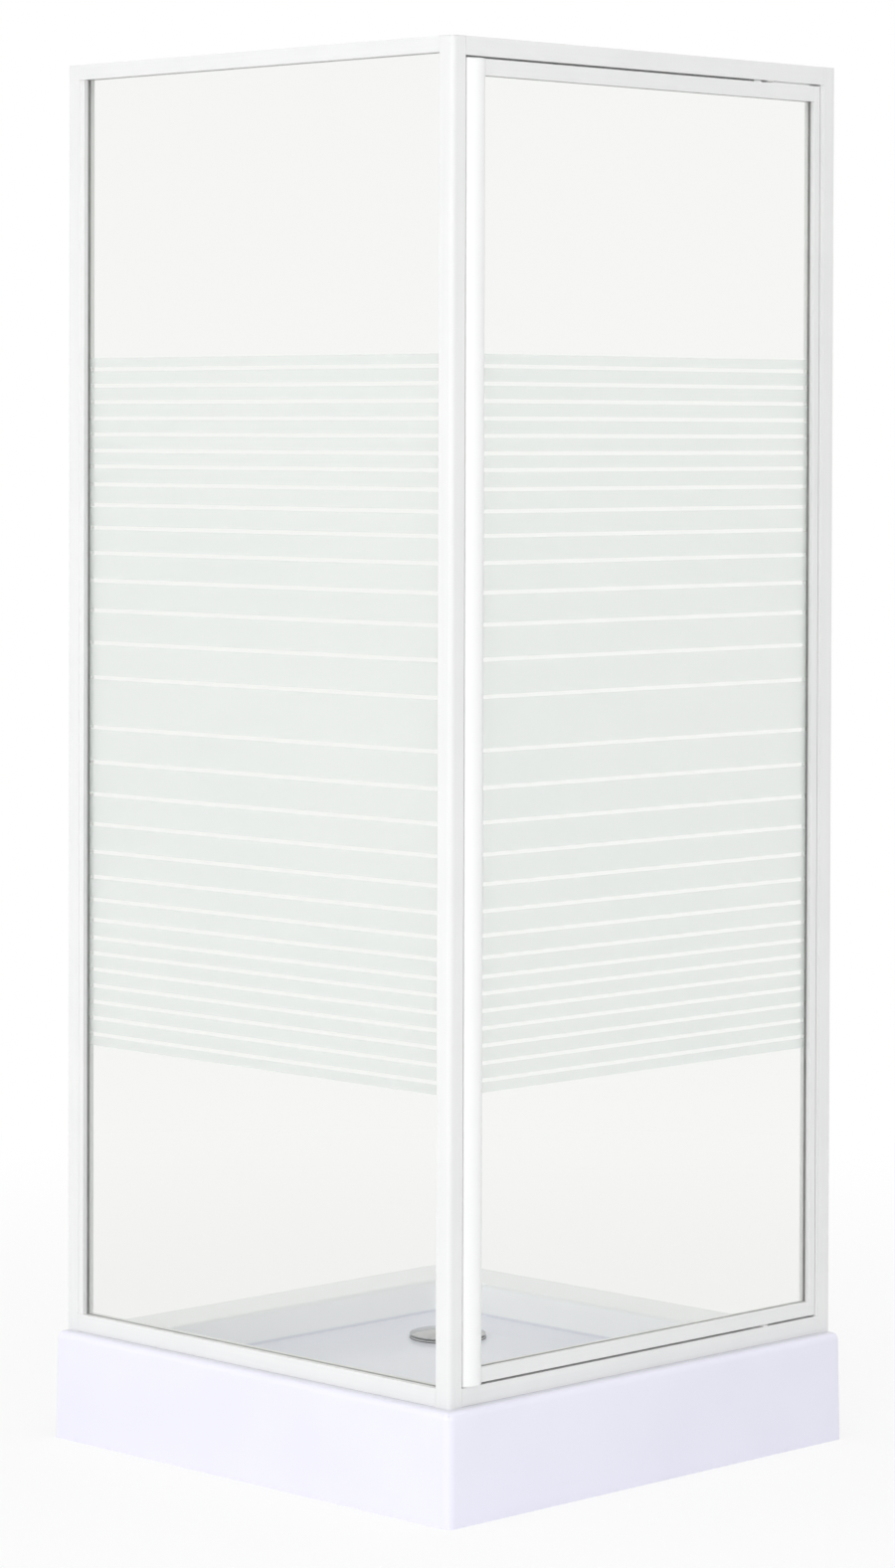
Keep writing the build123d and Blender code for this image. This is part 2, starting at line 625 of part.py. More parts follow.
def fixed_glass():
    """Tempered pane, let into the grooves on all four sides."""
    x = around(MIDDLE, GLASS)
    y = (INSIDE - BITE, STILE_MOUTH + BITE)
    z = (SILL_TOP - BITE, FIXED_HEAD_UNDER + BITE)
    return block(x, y, z)


def fixed_gasket_top():
    """Gasket between the head and the pane."""
    start = (MIDDLE, INSIDE + GASKET_LIP, FIXED_HEAD_UNDER + GROOVE_DEPTH)
    length = STILE_MOUTH - INSIDE - 2 * GASKET_LIP
    return profile(gasket_section(GROOVE_DEPTH), start, (1, 0, 0), (0, 1, 0), length)


def fixed_gasket_bottom():
    """Gasket between the bottom rail and the pane."""
    start = (MIDDLE, INSIDE + GASKET_LIP, SILL_TOP - GROOVE_DEPTH)
    length = STILE_MOUTH - INSIDE - 2 * GASKET_LIP
    return profile(gasket_section(GROOVE_DEPTH), start, (-1, 0, 0), (0, 1, 0), length)


def fixed_gasket_wall():
    """Gasket between the adjusting stile and the pane."""
    start = (MIDDLE, STILE_MOUTH + GROOVE_DEPTH, SILL_TOP)
    return profile(gasket_section(GROOVE_DEPTH), start, (-1, 0, 0), (0, 0, 1), FIXED_HEAD_UNDER - SILL_TOP)


def fixed_gasket_post():
    """Gasket between the corner post and the pane."""
    start = (MIDDLE, INSIDE - GROOVE_DEPTH, SILL_TOP)
    return profile(gasket_section(GROOVE_DEPTH), start, (1, 0, 0), (0, 0, 1), FIXED_HEAD_UNDER - SILL_TOP)


def door_jamb():
    """Hollow jamb that slides in the wall channel of the door side, between sill and head."""
    x = (JAMB_FACE, DOOR_CHANNEL_MOUTH + STILE_IN_CHANNEL)
    y = (FACE + METAL, INSIDE - METAL)
    z = (SILL_TOP, DOOR_HEAD_UNDER)
    hollow = block((x[0] + METAL, x[1] - METAL), (y[0] + METAL, y[1] - METAL), z)
    jamb = block(x, y, z) - hollow
    for height in STILE_SCREW_HEIGHTS:
        jamb = jamb - stile_screw_hole(DOOR_CHANNEL_MOUTH, height)
    return jamb


def door_rail(z, slot_z):
    """Hollow rail of the door frame with a slot that takes the foot of a stop strip."""
    x = (INSIDE, DOOR_CHANNEL_MOUTH)
    hollow = block(x, (FACE + METAL, INSIDE - METAL), (z[0] + METAL, z[1] - METAL))
    return block(x, (FACE, INSIDE), z) - hollow - block(x, STRIP_NECK_Y, slot_z)


def door_top_rail():
    """Head of the door frame, drilled for the upper bush."""
    rail = door_rail((DOOR_HEAD_UNDER, TOP), (DOOR_HEAD_UNDER, DOOR_HEAD_UNDER + METAL))
    rail = rail - upright(PIVOT, LEAF_MIDDLE, (DOOR_HEAD_UNDER, DOOR_HEAD_UNDER + METAL), BUSH_RADIUS)
    return rail - key_screw_holes(door_key_screw_places(sum(HEAD_KEY_Z) / 2))


def door_sill():
    """Sill of the door frame on the tray rim, drilled for the lower bush."""
    rail = door_rail((RIM, SILL_TOP), (SILL_TOP - METAL, SILL_TOP))
    rail = rail - upright(PIVOT, LEAF_MIDDLE, (SILL_TOP - METAL, SILL_TOP), BUSH_RADIUS)
    return rail - key_screw_holes(door_key_screw_places(sum(SILL_KEY_Z) / 2))


def fixed_key_screw_places(level):
    """Screws of the fixed side as direction, place along the rail and level."""
    places = (INSIDE + KEY_SCREW_INSET, FIXED_CHANNEL_MOUTH - KEY_SCREW_INSET)
    return [("x", place, level) for place in places]


def door_key_screw_places(level):
    """Screws of the door frame as direction, place along the rail and level."""
    places = (INSIDE + KEY_SCREW_INSET, DOOR_CHANNEL_MOUTH - KEY_SCREW_INSET)
    return [("y", place, level) for place in places]


def frame_screw(direction, place, level, span, radius):
    """Cylinder of a frame screw, which stands square to its rail."""
    if direction == "x":
        return along_x(span, place, level, radius)
    return along_y(place, span, level, radius)


def key_screw_holes(places):
    """Holes for key screws, through the inner wall of a rail and into its key."""
    span = (KEY_SCREW_TIP - KEY_PLAY, INSIDE)
    first, second = [frame_screw(*place, span, SCREW_RADIUS + SCREW_CLEARANCE) for place in places]
    return first + second


def all_key_screw_places():
    """Every key screw of the two sides of the frame."""
    places = []
    for key_z in (FIXED_HEAD_KEY_Z, FIXED_SILL_KEY_Z):
        places += fixed_key_screw_places(sum(key_z) / 2)
    for key_z in (HEAD_KEY_Z, SILL_KEY_Z):
        places += door_key_screw_places(sum(key_z) / 2)
    return places


def frame_corner_keys():
    """Bars that sit in the rail ends and reach into the post and the wall channels."""
    keys = []
    for key_z in (FIXED_HEAD_KEY_Z, FIXED_SILL_KEY_Z):
        near = block(FIXED_KEY_X, (FIXED_KEY_TONGUE, INSIDE + KEY_IN_RAIL), key_z)
        ends = (FIXED_CHANNEL_MOUTH - KEY_IN_RAIL, FIXED_CHANNEL_MOUTH + KEY_IN_CHANNEL)
        far = block(FIXED_KEY_X, ends, key_z)
        holes = key_screw_holes(fixed_key_screw_places(sum(key_z) / 2))
        keys += [near - holes, far - holes]
    for key_z in (HEAD_KEY_Z, SILL_KEY_Z):
        near = block((INSIDE - KEY_IN_POST, INSIDE + KEY_IN_RAIL), DOOR_KEY_Y, key_z)
        ends = (DOOR_CHANNEL_MOUTH - KEY_IN_RAIL, DOOR_CHANNEL_MOUTH + KEY_IN_CHANNEL)
        far = block(ends, DOOR_KEY_Y, key_z)
        holes = key_screw_holes(door_key_screw_places(sum(key_z) / 2))
        keys += [near - holes, far - holes]
    return group(keys)


def frame_key_screws():
    """Pan head screws that hold the keys, driven from inside the shower."""
    screws = []
    for place in all_key_screw_places():
        shank = frame_screw(*place, (KEY_SCREW_TIP, INSIDE), SCREW_RADIUS)
        head = frame_screw(*place, (INSIDE, INSIDE + HEAD), HEAD_RADIUS)
        screws.append(shank + head)
    return group(screws)


def stile_fixing_screws():
    """Pan head screws that lock the stile and the jamb in their wall channels."""
    screws = []
    for height in STILE_SCREW_HEIGHTS:
        for mouth, turned in ((DOOR_CHANNEL_MOUTH, False), (FIXED_CHANNEL_MOUTH, True)):
            x = mouth + STILE_IN_CHANNEL / 2
            screw = along_y(x, (INSIDE - 2 * METAL, INSIDE), height, SCREW_RADIUS)
            screw = screw + along_y(x, (INSIDE, INSIDE + HEAD), height, HEAD_RADIUS)
            screws.append(swap_sides(screw) if turned else screw)
    return group(screws)


def stop_strip(head_z, neck_z, blade_z):
    """Soft strip: a foot held in the rail, a neck in its slot and a blade behind the leaf."""
    x = (INSIDE, PIVOT - PIVOT_BLOCK_HALF - STRIP_PIVOT_GAP)
    head = block(x, STRIP_HEAD_Y, head_z)
    return head + block(x, STRIP_NECK_Y, neck_z) + block(x, STRIP_NECK_Y, blade_z)


def stop_strip_top():
    """Strip under the head, up to the pivot."""
    under = DOOR_HEAD_UNDER
    head_z = (under + METAL, under + METAL + STRIP_HEAD)
    return stop_strip(head_z, (under, under + METAL), (under - STRIP_REACH, under))


def stop_strip_bottom():
    """Strip on the sill, up to the pivot."""
    head_z = (SILL_TOP - METAL - STRIP_HEAD, SILL_TOP - METAL)
    return stop_strip(head_z, (SILL_TOP - METAL, SILL_TOP), (SILL_TOP, SILL_TOP + STRIP_REACH))


def hinge_side_seal():
    """Soft strip on the jamb that closes the gap beside the hinge stile."""
    x = JAMB_FACE - HINGE_SEAL_REACH
    y = around(LEAF_MIDDLE, HINGE_SEAL_WIDTH)
    strip = block((x, JAMB_FACE), y, (LEAF_BOTTOM, LEAF_TOP))
    middle_height = (LEAF_BOTTOM + LEAF_TOP) / 2
    soft_edges = nearest_edges(strip, [(x, side, middle_height) for side in y])
    return fillet(soft_edges, HINGE_SEAL_RADIUS)


def post_magnet_strip():
    """Magnet strip on the stop lip of the post."""
    x = (INSIDE + SCREW_CLEARANCE, INSIDE + STOP_LIP - KEY_PLAY)
    return block(x, (LEAF_INSIDE + POST_MAGNET_GAP, INSIDE - METAL), MAGNET_Z)


def head_pivot_block():
    """Block in the head that carries the upper bush."""
    z = (DOOR_HEAD_UNDER + METAL, DOOR_HEAD_UNDER + BUSH_LENGTH)
    body = block(around(PIVOT, 2 * PIVOT_BLOCK_HALF), (FACE + METAL, INSIDE - METAL), z)
    return body - upright(PIVOT, LEAF_MIDDLE, z, BUSH_RADIUS)


def sill_pivot_block():
    """Block in the sill that carries the lower bush."""
    z = (SILL_TOP - BUSH_LENGTH, SILL_TOP - METAL)
    body = block(around(PIVOT, 2 * PIVOT_BLOCK_HALF), (FACE + METAL, INSIDE - METAL), z)
    return body - upright(PIVOT, LEAF_MIDDLE, z, BUSH_RADIUS)


def bush(body_z, flange_z, bore_z):
    """Flanged nylon bush on the pivot line with a blind bore for the pin."""
    body = upright(PIVOT, LEAF_MIDDLE, body_z, BUSH_RADIUS)
    flange = upright(PIVOT, LEAF_MIDDLE, flange_z, BUSH_FLANGE_RADIUS)
    return body + flange - upright(PIVOT, LEAF_MIDDLE, bore_z, PIN_RADIUS + PIN_FIT)


def head_bush():
    """Bush in the head, its bore open downwards."""
    under = DOOR_HEAD_UNDER
    body_z = (under, under + BUSH_LENGTH)
    flange_z = (under - BUSH_FLANGE, under)
    return bush(body_z, flange_z, (under - BUSH_FLANGE, under + BUSH_LENGTH - BUSH_END))


def sill_bush():
    """Bush in the sill, its bore open upwards."""
    body_z = (SILL_TOP - BUSH_LENGTH, SILL_TOP)
    flange_z = (SILL_TOP, SILL_TOP + BUSH_FLANGE)
    return bush(body_z, flange_z, (SILL_TOP - BUSH_LENGTH + BUSH_END, SILL_TOP + BUSH_FLANGE))


# Door leaf


def leaf_rail(back_level, height, across):
    """Rail of the leaf between its stiles, its glass groove facing the pane."""
    section = glazing_section(LEAF_DEPTH, height, GROOVE_DEPTH)
    start = (HANDLE_MOUTH, LEAF_MIDDLE, back_level)
    return profile(section, start, (0, across, 0), (1, 0, 0), HINGE_MOUTH - HANDLE_MOUTH)


def leaf_screw_places(level):
    """Places of the two key screws in a leaf rail."""
    return [(place, level) for place in (HANDLE_MOUTH + LEAF_SCREW_INSET, HINGE_MOUTH - LEAF_SCREW_INSET)]


def leaf_screw_holes(level):
    """Holes for the key screws, through the inner wall of the rail and into the keys."""
    span = (LEAF_MIDDLE, LEAF_INSIDE)
    radius = SCREW_RADIUS + SCREW_CLEARANCE
    first, second = [along_y(x, span, z, radius) for x, z in leaf_screw_places(level)]
    return first + second


def leaf_top_rail():
    """Top rail of the leaf, drilled for the pivot pin."""
    rail = leaf_rail(LEAF_TOP, LEAF_TOP_RAIL, -1)
    rail = rail - upright(PIVOT, LEAF_MIDDLE, (LEAF_TOP - METAL, LEAF_TOP), PIN_RADIUS)
    return rail - leaf_screw_holes(LEAF_SCREW_TOP)


def leaf_bottom_rail():
    """Bottom rail of the leaf, drilled for the pivot pin and slotted for the seal under the door."""
    rail = leaf_rail(LEAF_BOTTOM, LEAF_BOTTOM_RAIL, 1)
    rail = rail - upright(PIVOT, LEAF_MIDDLE, (LEAF_BOTTOM, LEAF_BOTTOM + METAL), PIN_RADIUS)
    rail = rail - block((HANDLE_MOUTH, HINGE_MOUTH), SEAL_NECK_Y, (LEAF_BOTTOM, LEAF_BOTTOM + METAL))
    return rail - leaf_screw_holes(LEAF_SCREW_BOTTOM)


def handle_outline(inset):
    """Plan of the handle stile: flat inside, its outer face a shallow arc that fingers can grip."""
    low = HANDLE_EDGE + inset
    high = HANDLE_MOUTH - inset
    back = LEAF_INSIDE - inset
    face = FACE + inset
    crown = ((low + high) / 2, FACE - HANDLE_PROUD + inset)
    sides = Polyline((low, face), (low, back), (high, back), (high, face))
    front = ThreePointArc((high, face), crown, (low, face))
    return make_face([*sides.edges(), *front.edges()])


def leaf_handle_stile():
    """Full height stile with the curved pull, hollow, with a glass groove and a slot for the magnet strip."""
    low_end = LEAF_BOTTOM - HANDLE_DROP + CAP
    length = LEAF_TOP - CAP - low_end
    groove_floor = HANDLE_MOUTH - GROOVE_DEPTH
    low = HANDLE_EDGE + METAL
    high = groove_floor - METAL
    front = FACE - HANDLE_PROUD
    back = LEAF_INSIDE - MAGNET_DEPTH - METAL
    chamber = Pos((low + high) / 2, (front + back) / 2) * Rectangle(high - low, back - front)
    section = handle_outline(0) - (handle_outline(METAL) & chamber)
    stile = extrude(Pos(0, 0, low_end) * section, amount=length)
    z = (low_end, low_end + length)
    stile = stile - block((groove_floor, HANDLE_MOUTH), around(LEAF_MIDDLE, GROOVE_WIDTH), z)
    return stile - block(MAGNET_X, (LEAF_INSIDE - MAGNET_DEPTH, LEAF_INSIDE), z)


def handle_stile_caps():
    """Moulded caps on the two ends of the handle stile."""
    levels = (LEAF_BOTTOM - HANDLE_DROP, LEAF_TOP - CAP)
    return group([extrude(Pos(0, 0, level) * handle_outline(0), amount=CAP) for level in levels])


def leaf_hinge_stile():
    """Slim stile beside the wall."""
    section = glazing_section(LEAF_DEPTH, HINGE_STILE, HINGE_GROOVE)
    start = (HINGE_EDGE, LEAF_MIDDLE, LEAF_BOTTOM)
    return profile(section, start, (0, 1, 0), (0, 0, 1), LEAF_TOP - LEAF_BOTTOM)


def leaf_glass():
    """Tempered pane of the leaf."""
    x = (HANDLE_MOUTH - BITE, HINGE_MOUTH + HINGE_GROOVE - GASKET_FLOOR)
    z = (LEAF_BOTTOM + LEAF_BOTTOM_RAIL - BITE, LEAF_TOP - LEAF_TOP_RAIL + BITE)
    return block(x, around(LEAF_MIDDLE, GLASS), z)


def leaf_gasket_top():
    """Gasket between the top rail and the pane."""
    start = (HANDLE_MOUTH + GASKET_LIP, LEAF_MIDDLE, LEAF_TOP - LEAF_TOP_RAIL + GROOVE_DEPTH)
    length = HINGE_MOUTH - HANDLE_MOUTH - 2 * GASKET_LIP
    return profile(gasket_section(GROOVE_DEPTH), start, (0, -1, 0), (1, 0, 0), length)


def leaf_gasket_bottom():
    """Gasket between the bottom rail and the pane."""
    start = (HANDLE_MOUTH + GASKET_LIP, LEAF_MIDDLE, LEAF_BOTTOM + LEAF_BOTTOM_RAIL - GROOVE_DEPTH)
    length = HINGE_MOUTH - HANDLE_MOUTH - 2 * GASKET_LIP
    return profile(gasket_section(GROOVE_DEPTH), start, (0, 1, 0), (1, 0, 0), length)


def leaf_gasket_span():
    """Foot and length of the upright gaskets, between the rails of the leaf."""
    low = LEAF_BOTTOM + LEAF_BOTTOM_RAIL
    return low, LEAF_TOP - LEAF_TOP_RAIL - low


def leaf_gasket_handle():
    """Gasket between the handle stile and the pane."""
    low, length = leaf_gasket_span()
    start = (HANDLE_MOUTH - GROOVE_DEPTH, LEAF_MIDDLE, low)
    return profile(gasket_section(GROOVE_DEPTH), start, (0, -1, 0), (0, 0, 1), length)


def leaf_gasket_hinge():
    """Gasket between the hinge stile and the pane."""
    low, length = leaf_gasket_span()
    start = (HINGE_MOUTH + HINGE_GROOVE, LEAF_MIDDLE, low)
    return profile(gasket_section(HINGE_GROOVE), start, (0, 1, 0), (0, 0, 1), length)


def leaf_corner_keys():
    """Bars that join the leaf rails to the stiles through the glass grooves."""
    keys = []
    for key_z, level in ((LEAF_TOP_KEY_Z, LEAF_SCREW_TOP), (LEAF_BOTTOM_KEY_Z, LEAF_SCREW_BOTTOM)):
        holes = leaf_screw_holes(level)
        handle_x = (HANDLE_MOUTH - GROOVE_DEPTH + KEY_PLAY, HANDLE_MOUTH + LEAF_KEY_IN_RAIL)
        hinge_x = (HINGE_MOUTH - LEAF_KEY_IN_RAIL, HINGE_MOUTH + HINGE_GROOVE - KEY_PLAY)
        keys += [block(x, LEAF_KEY_Y, key_z) - holes for x in (handle_x, hinge_x)]
    return group(keys)


def leaf_key_screws():
    """Flat head screws of the leaf, driven from inside the shower."""
    screws = []
    for level in (LEAF_SCREW_TOP, LEAF_SCREW_BOTTOM):
        for x, z in leaf_screw_places(level):
            shank = along_y(x, (LEAF_MIDDLE + KEY_PLAY, LEAF_INSIDE), z, SCREW_RADIUS)
            head = along_y(x, (LEAF_INSIDE, LEAF_INSIDE + FLAT_HEAD), z, FLAT_HEAD_RADIUS)
            screws.append(shank + head)
    return group(screws)


def leaf_magnet_strip():
    """Magnet strip let into the back of the handle stile."""
    return block(MAGNET_X, (LEAF_INSIDE - MAGNET_DEPTH, LEAF_INSIDE), MAGNET_Z)


def leaf_bottom_seal():
    """Soft seal under the leaf, one length on each side of the pivot."""
    strips = []
    clear = LEAF_PIVOT_BLOCK_HALF + SEAL_PIVOT_GAP
    for x in ((HANDLE_MOUTH, PIVOT - clear), (PIVOT + clear, HINGE_MOUTH)):
        head = block(x, SEAL_HEAD_Y, (LEAF_BOTTOM + METAL, LEAF_BOTTOM + METAL + SEAL_HEAD))
        neck = block(x, SEAL_NECK_Y, (SILL_TOP + SEAL_CLEARANCE, LEAF_BOTTOM + METAL))
        strips.append(head + neck)
    return group(strips)


def leaf_pivot_block(chamber):
    """Block in a leaf rail that holds a pivot pin."""
    y = (FACE + METAL, LEAF_INSIDE - METAL)
    body = block(around(PIVOT, 2 * LEAF_PIVOT_BLOCK_HALF), y, chamber)
    return body - upright(PIVOT, LEAF_MIDDLE, chamber, PIN_RADIUS)


def leaf_top_pivot_block():
    """Upper pivot block."""
    return leaf_pivot_block(LEAF_TOP_CHAMBER)


def leaf_bottom_pivot_block():
    """Lower pivot block."""
    return leaf_pivot_block(LEAF_BOTTOM_CHAMBER)


def top_pivot_pin():
    """Steel pin from the upper block into the head bush."""
    return upright(PIVOT, LEAF_MIDDLE, (LEAF_TOP_CHAMBER[0], LEAF_TOP + PIN_REACH), PIN_RADIUS)


def bottom_pivot_pin():
    """Steel pin from the lower block into the sill bush."""
    return upright(PIVOT, LEAF_MIDDLE, (LEAF_BOTTOM - PIN_REACH, LEAF_BOTTOM_CHAMBER[1]), PIN_RADIUS)


def pivot_thrust_washer():
    """Washer on the lower pin that carries the leaf on the sill bush."""
    z = (LEAF_BOTTOM - THRUST_WASHER, LEAF_BOTTOM)
    return ring(PIVOT, LEAF_MIDDLE, z, THRUST_WASHER_RADIUS, PIN_RADIUS)


SUBPARTS = [
    tray_shell, tray_base_board, foot_bars, centre_foot_plate, foot_rods, foot_pads, foot_lock_nuts,
    waste_body, waste_flange, waste_upper_seal, waste_lower_seal, trap_cup, waste_cover,
    corner_post, corner_post_cap, fixed_wall_profile, door_wall_profile, wall_profile_caps, fixed_wall_stile,
    fixed_top_rail, fixed_bottom_rail, fixed_glass, fixed_gasket_top, fixed_gasket_bottom, fixed_gasket_wall,
    fixed_gasket_post, door_jamb, door_top_rail, door_sill, frame_corner_keys, frame_key_screws,
    stile_fixing_screws, stop_strip_top, stop_strip_bottom, hinge_side_seal, post_magnet_strip,
    head_pivot_block, sill_pivot_block, head_bush, sill_bush,
    leaf_top_rail, leaf_bottom_rail, leaf_handle_stile, handle_stile_caps, leaf_hinge_stile, leaf_glass,
    leaf_gasket_top, leaf_gasket_bottom, leaf_gasket_handle, leaf_gasket_hinge, leaf_corner_keys,
    leaf_key_screws, leaf_magnet_strip, leaf_bottom_seal, leaf_top_pivot_block, leaf_bottom_pivot_block,
    top_pivot_pin, bottom_pivot_pin, pivot_thrust_washer,
]

os.makedirs("parts", exist_ok=True)
for subpart in SUBPARTS:
    export_step(subpart(), f"parts/{subpart.__name__}.step")
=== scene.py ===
import json
import math

import bmesh
import bpy
import numpy as np
from mathutils import Matrix, Vector
from mathutils.geometry import tessellate_polygon


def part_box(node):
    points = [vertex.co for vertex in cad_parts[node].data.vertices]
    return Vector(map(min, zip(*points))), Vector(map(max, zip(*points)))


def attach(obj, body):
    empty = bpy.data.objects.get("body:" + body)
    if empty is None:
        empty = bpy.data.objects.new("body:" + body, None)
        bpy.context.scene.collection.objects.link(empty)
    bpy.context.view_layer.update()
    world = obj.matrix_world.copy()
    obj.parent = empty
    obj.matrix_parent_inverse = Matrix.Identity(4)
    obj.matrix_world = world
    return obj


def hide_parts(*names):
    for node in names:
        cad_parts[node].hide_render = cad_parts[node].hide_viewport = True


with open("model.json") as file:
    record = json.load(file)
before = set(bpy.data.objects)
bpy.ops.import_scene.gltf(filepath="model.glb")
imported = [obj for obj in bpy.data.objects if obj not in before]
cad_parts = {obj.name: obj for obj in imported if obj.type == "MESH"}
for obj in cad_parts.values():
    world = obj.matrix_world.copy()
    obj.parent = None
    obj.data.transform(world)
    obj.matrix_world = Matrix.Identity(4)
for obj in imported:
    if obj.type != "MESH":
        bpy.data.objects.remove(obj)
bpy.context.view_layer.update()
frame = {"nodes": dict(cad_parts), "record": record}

MM = 0.001
nodes = frame["nodes"]

# Camera. It stands level with the upper part of the enclosure, on the outer side of the corner post, and
# its frame is shifted down so that the uprights stay parallel.
IMAGE_LONG_SIDE = 1577
SENSOR_WIDTH = 36
FOCAL_PIXELS = 4659.4
AXIS_ABOVE_CENTRE_PIXELS = 248.7
CAMERA_PLACE = Vector((-4.7327, -4.7150, 1.4576))
CAMERA_YAW = math.radians(45.07)
CAMERA_PITCH = math.radians(1.299)
CAMERA_ROLL = math.radians(0.167)
SEEN_TO = 60
camera_data = bpy.data.cameras.new("camera")
camera_data.sensor_width = SENSOR_WIDTH
camera_data.lens = FOCAL_PIXELS * SENSOR_WIDTH / IMAGE_LONG_SIDE
camera_data.shift_y = -AXIS_ABOVE_CENTRE_PIXELS / IMAGE_LONG_SIDE
camera_data.clip_end = SEEN_TO
camera = bpy.data.objects.new("camera", camera_data)
turn = (Matrix.Rotation(-CAMERA_YAW, 4, "Z") @ Matrix.Rotation(math.pi / 2 - CAMERA_PITCH, 4, "X")
        @ Matrix.Rotation(CAMERA_ROLL, 4, "Z"))
camera.matrix_world = Matrix.Translation(CAMERA_PLACE) @ turn
bpy.context.scene.collection.objects.link(camera)
bpy.context.scene.camera = camera
bpy.context.scene.view_settings.view_transform = "Standard"

# Studio. A white room: a pale floor that keeps a soft shadow, a white surround that is a little stronger on
# the side of the fixed pane, and four soft lamps: a low one beside that pane, a large one before the corner
# post, a low one beside the door and one overhead.


class Tone:
    """Output socket of a shader node, used like a number: every operator adds the Math node for it."""

    def __init__(self, tree, socket=None):
        self.tree = tree
        self.socket = socket

    def node(self, kind, settings=None, sockets=None, output=0):
        """New node of a kind. Its settings are made first, then its sockets get values or links."""
        made = self.tree.nodes.new(kind)
        for name, value in (settings or {}).items():
            setattr(made, name, value)
        for name, value in (sockets or {}).items():
            if isinstance(value, Tone):
                self.tree.links.new(value.socket, made.inputs[name])
            else:
                made.inputs[name].default_value = value
        return Tone(self.tree, made.outputs[output] if made.outputs else None)

    def math(self, operation, first, second):
        return self.node("ShaderNodeMath", {"operation": operation}, {0: first, 1: second})

    def __add__(self, other):
        return self.math("ADD", self, other)

    def __radd__(self, other):
        return self.math("ADD", other, self)

    def __sub__(self, other):
        return self.math("SUBTRACT", self, other)

    def __rsub__(self, other):
        return self.math("SUBTRACT", other, self)

    def __mul__(self, other):
        return self.math("MULTIPLY", self, other)

    def __rmul__(self, other):
        return self.math("MULTIPLY", other, self)

    def larger(self, other):
        return self.math("MAXIMUM", self, other)

    def blend(self, low, high):
        """Colour between two colours by this value."""
        colours = {"Factor": self, 6: (*low, 1), 7: (*high, 1)}
        return self.node("ShaderNodeMix", {"data_type": "RGBA"}, colours, output=2)

    def mixed(self, share, first, second):
        """Colour between two colour tones by a share."""
        colours = {"Factor": share, 6: first, 7: second}
        return self.node("ShaderNodeMix", {"data_type": "RGBA"}, colours, output=2)

    def spans(self, start, end, low=0.0, high=1.0):
        """This value taken smoothly from low to high while it runs from start to end."""
        ends = {"Value": self, 1: start, 2: end, 3: low, 4: high}
        return self.node("ShaderNodeMapRange", {"interpolation_type": "SMOOTHSTEP"}, ends)


def new_material(name):
    """Material with an empty tree and the tone that starts its expressions."""
    material = bpy.data.materials.new(name)
    material.use_nodes = True
    material.node_tree.nodes.clear()
    return material, Tone(material.node_tree)


def surface(start, shader):
    """Joins a shader to the material output."""
    start.node("ShaderNodeOutputMaterial", sockets={"Surface": shader})


def object_point(start):
    """Object coordinates as a vector."""
    return start.node("ShaderNodeTexCoord", output="Object")


def axis_of(point, letter):
    """One coordinate of a point."""
    return point.node("ShaderNodeSeparateXYZ", sockets={0: point}, output="XYZ".index(letter))


def noise(point, scale, detail=2.0, roughness=0.5, stretch=(1, 1, 1)):
    """Soft noise from 0 to 1 over the object, its grain 1 / scale metres, stretched along the axes."""
    placed = point.node("ShaderNodeMapping", sockets={"Vector": point, "Scale": stretch})
    sockets = {"Vector": placed, "Scale": scale, "Detail": detail, "Roughness": roughness}
    return point.node("ShaderNodeTexNoise", sockets=sockets)


def shown_to_camera(tone):
    """1 where the camera sees a surface directly, in a reflection or through glass."""
    seen = tone.node("ShaderNodeLightPath", output="Is Camera Ray")
    mirrored = tone.node("ShaderNodeLightPath", output="Is Glossy Ray")
    through = tone.node("ShaderNodeLightPath", output="Is Transmission Ray")
    return seen.larger(mirrored).larger(through)


FLOOR_REACH = 14.0
FLOOR_WHITE = (0.90, 0.90, 0.905)
FLOOR_GRAIN_SHADE = 0.99
FLOOR_FADE = (0.7, 3.0)
FLOOR_SHADOW_KEPT = 0.2

floor_material, tone = new_material("studio_floor")
point = object_point(tone)
distance = tone.node("ShaderNodeVectorMath", {"operation": "LENGTH"}, {0: point}, output=1)
grain = noise(point, 240, 3)
far = distance.spans(FLOOR_FADE[0], FLOOR_FADE[1], 1 - FLOOR_SHADOW_KEPT, 1.0)
matt = tone.node("ShaderNodeBsdfPrincipled", sockets={
    "Base Color": grain.blend(tuple(FLOOR_GRAIN_SHADE * c for c in FLOOR_WHITE), FLOOR_WHITE),
    "Roughness": 0.85, "Specular IOR Level": 0.1})
white = tone.node("ShaderNodeEmission", sockets={"Color": (1, 1, 1, 1), "Strength": 1.0})
surface(tone, tone.node("ShaderNodeMixShader", sockets={
    0: shown_to_camera(tone) * far, 1: matt, 2: white}))

floor_mesh = bpy.data.meshes.new("studio_floor")
corners = np.array([(-1, -1), (1, -1), (1, 1), (-1, 1)]) * FLOOR_REACH
floor_mesh.from_pydata([(x, y, 0.0) for x, y in corners], [], [(0, 1, 2, 3)])
floor_mesh.materials.append(floor_material)
studio_floor = bpy.data.objects.new("studio_floor", floor_mesh)
bpy.context.scene.collection.objects.link(studio_floor)

SURROUND_FIXED_SIDE = 0.64
SURROUND_DOOR_SIDE = 0.52
world = bpy.data.worlds.new("studio")
world.use_nodes = True
world.node_tree.nodes.clear()
tone = Tone(world.node_tree)
shown = shown_to_camera(tone)
direction = tone.node("ShaderNodeTexCoord", output="Generated")
level = axis_of(direction, "X").spans(-1.0, 1.0, SURROUND_FIXED_SIDE, SURROUND_DOOR_SIDE)
surround = tone.node("ShaderNodeBackground", sockets={
    "Color": (1, 1, 1, 1), "Strength": shown * (1 - level) + level})
tone.node("ShaderNodeOutputWorld", sockets={"Surface": surround})
bpy.context.scene.world = world

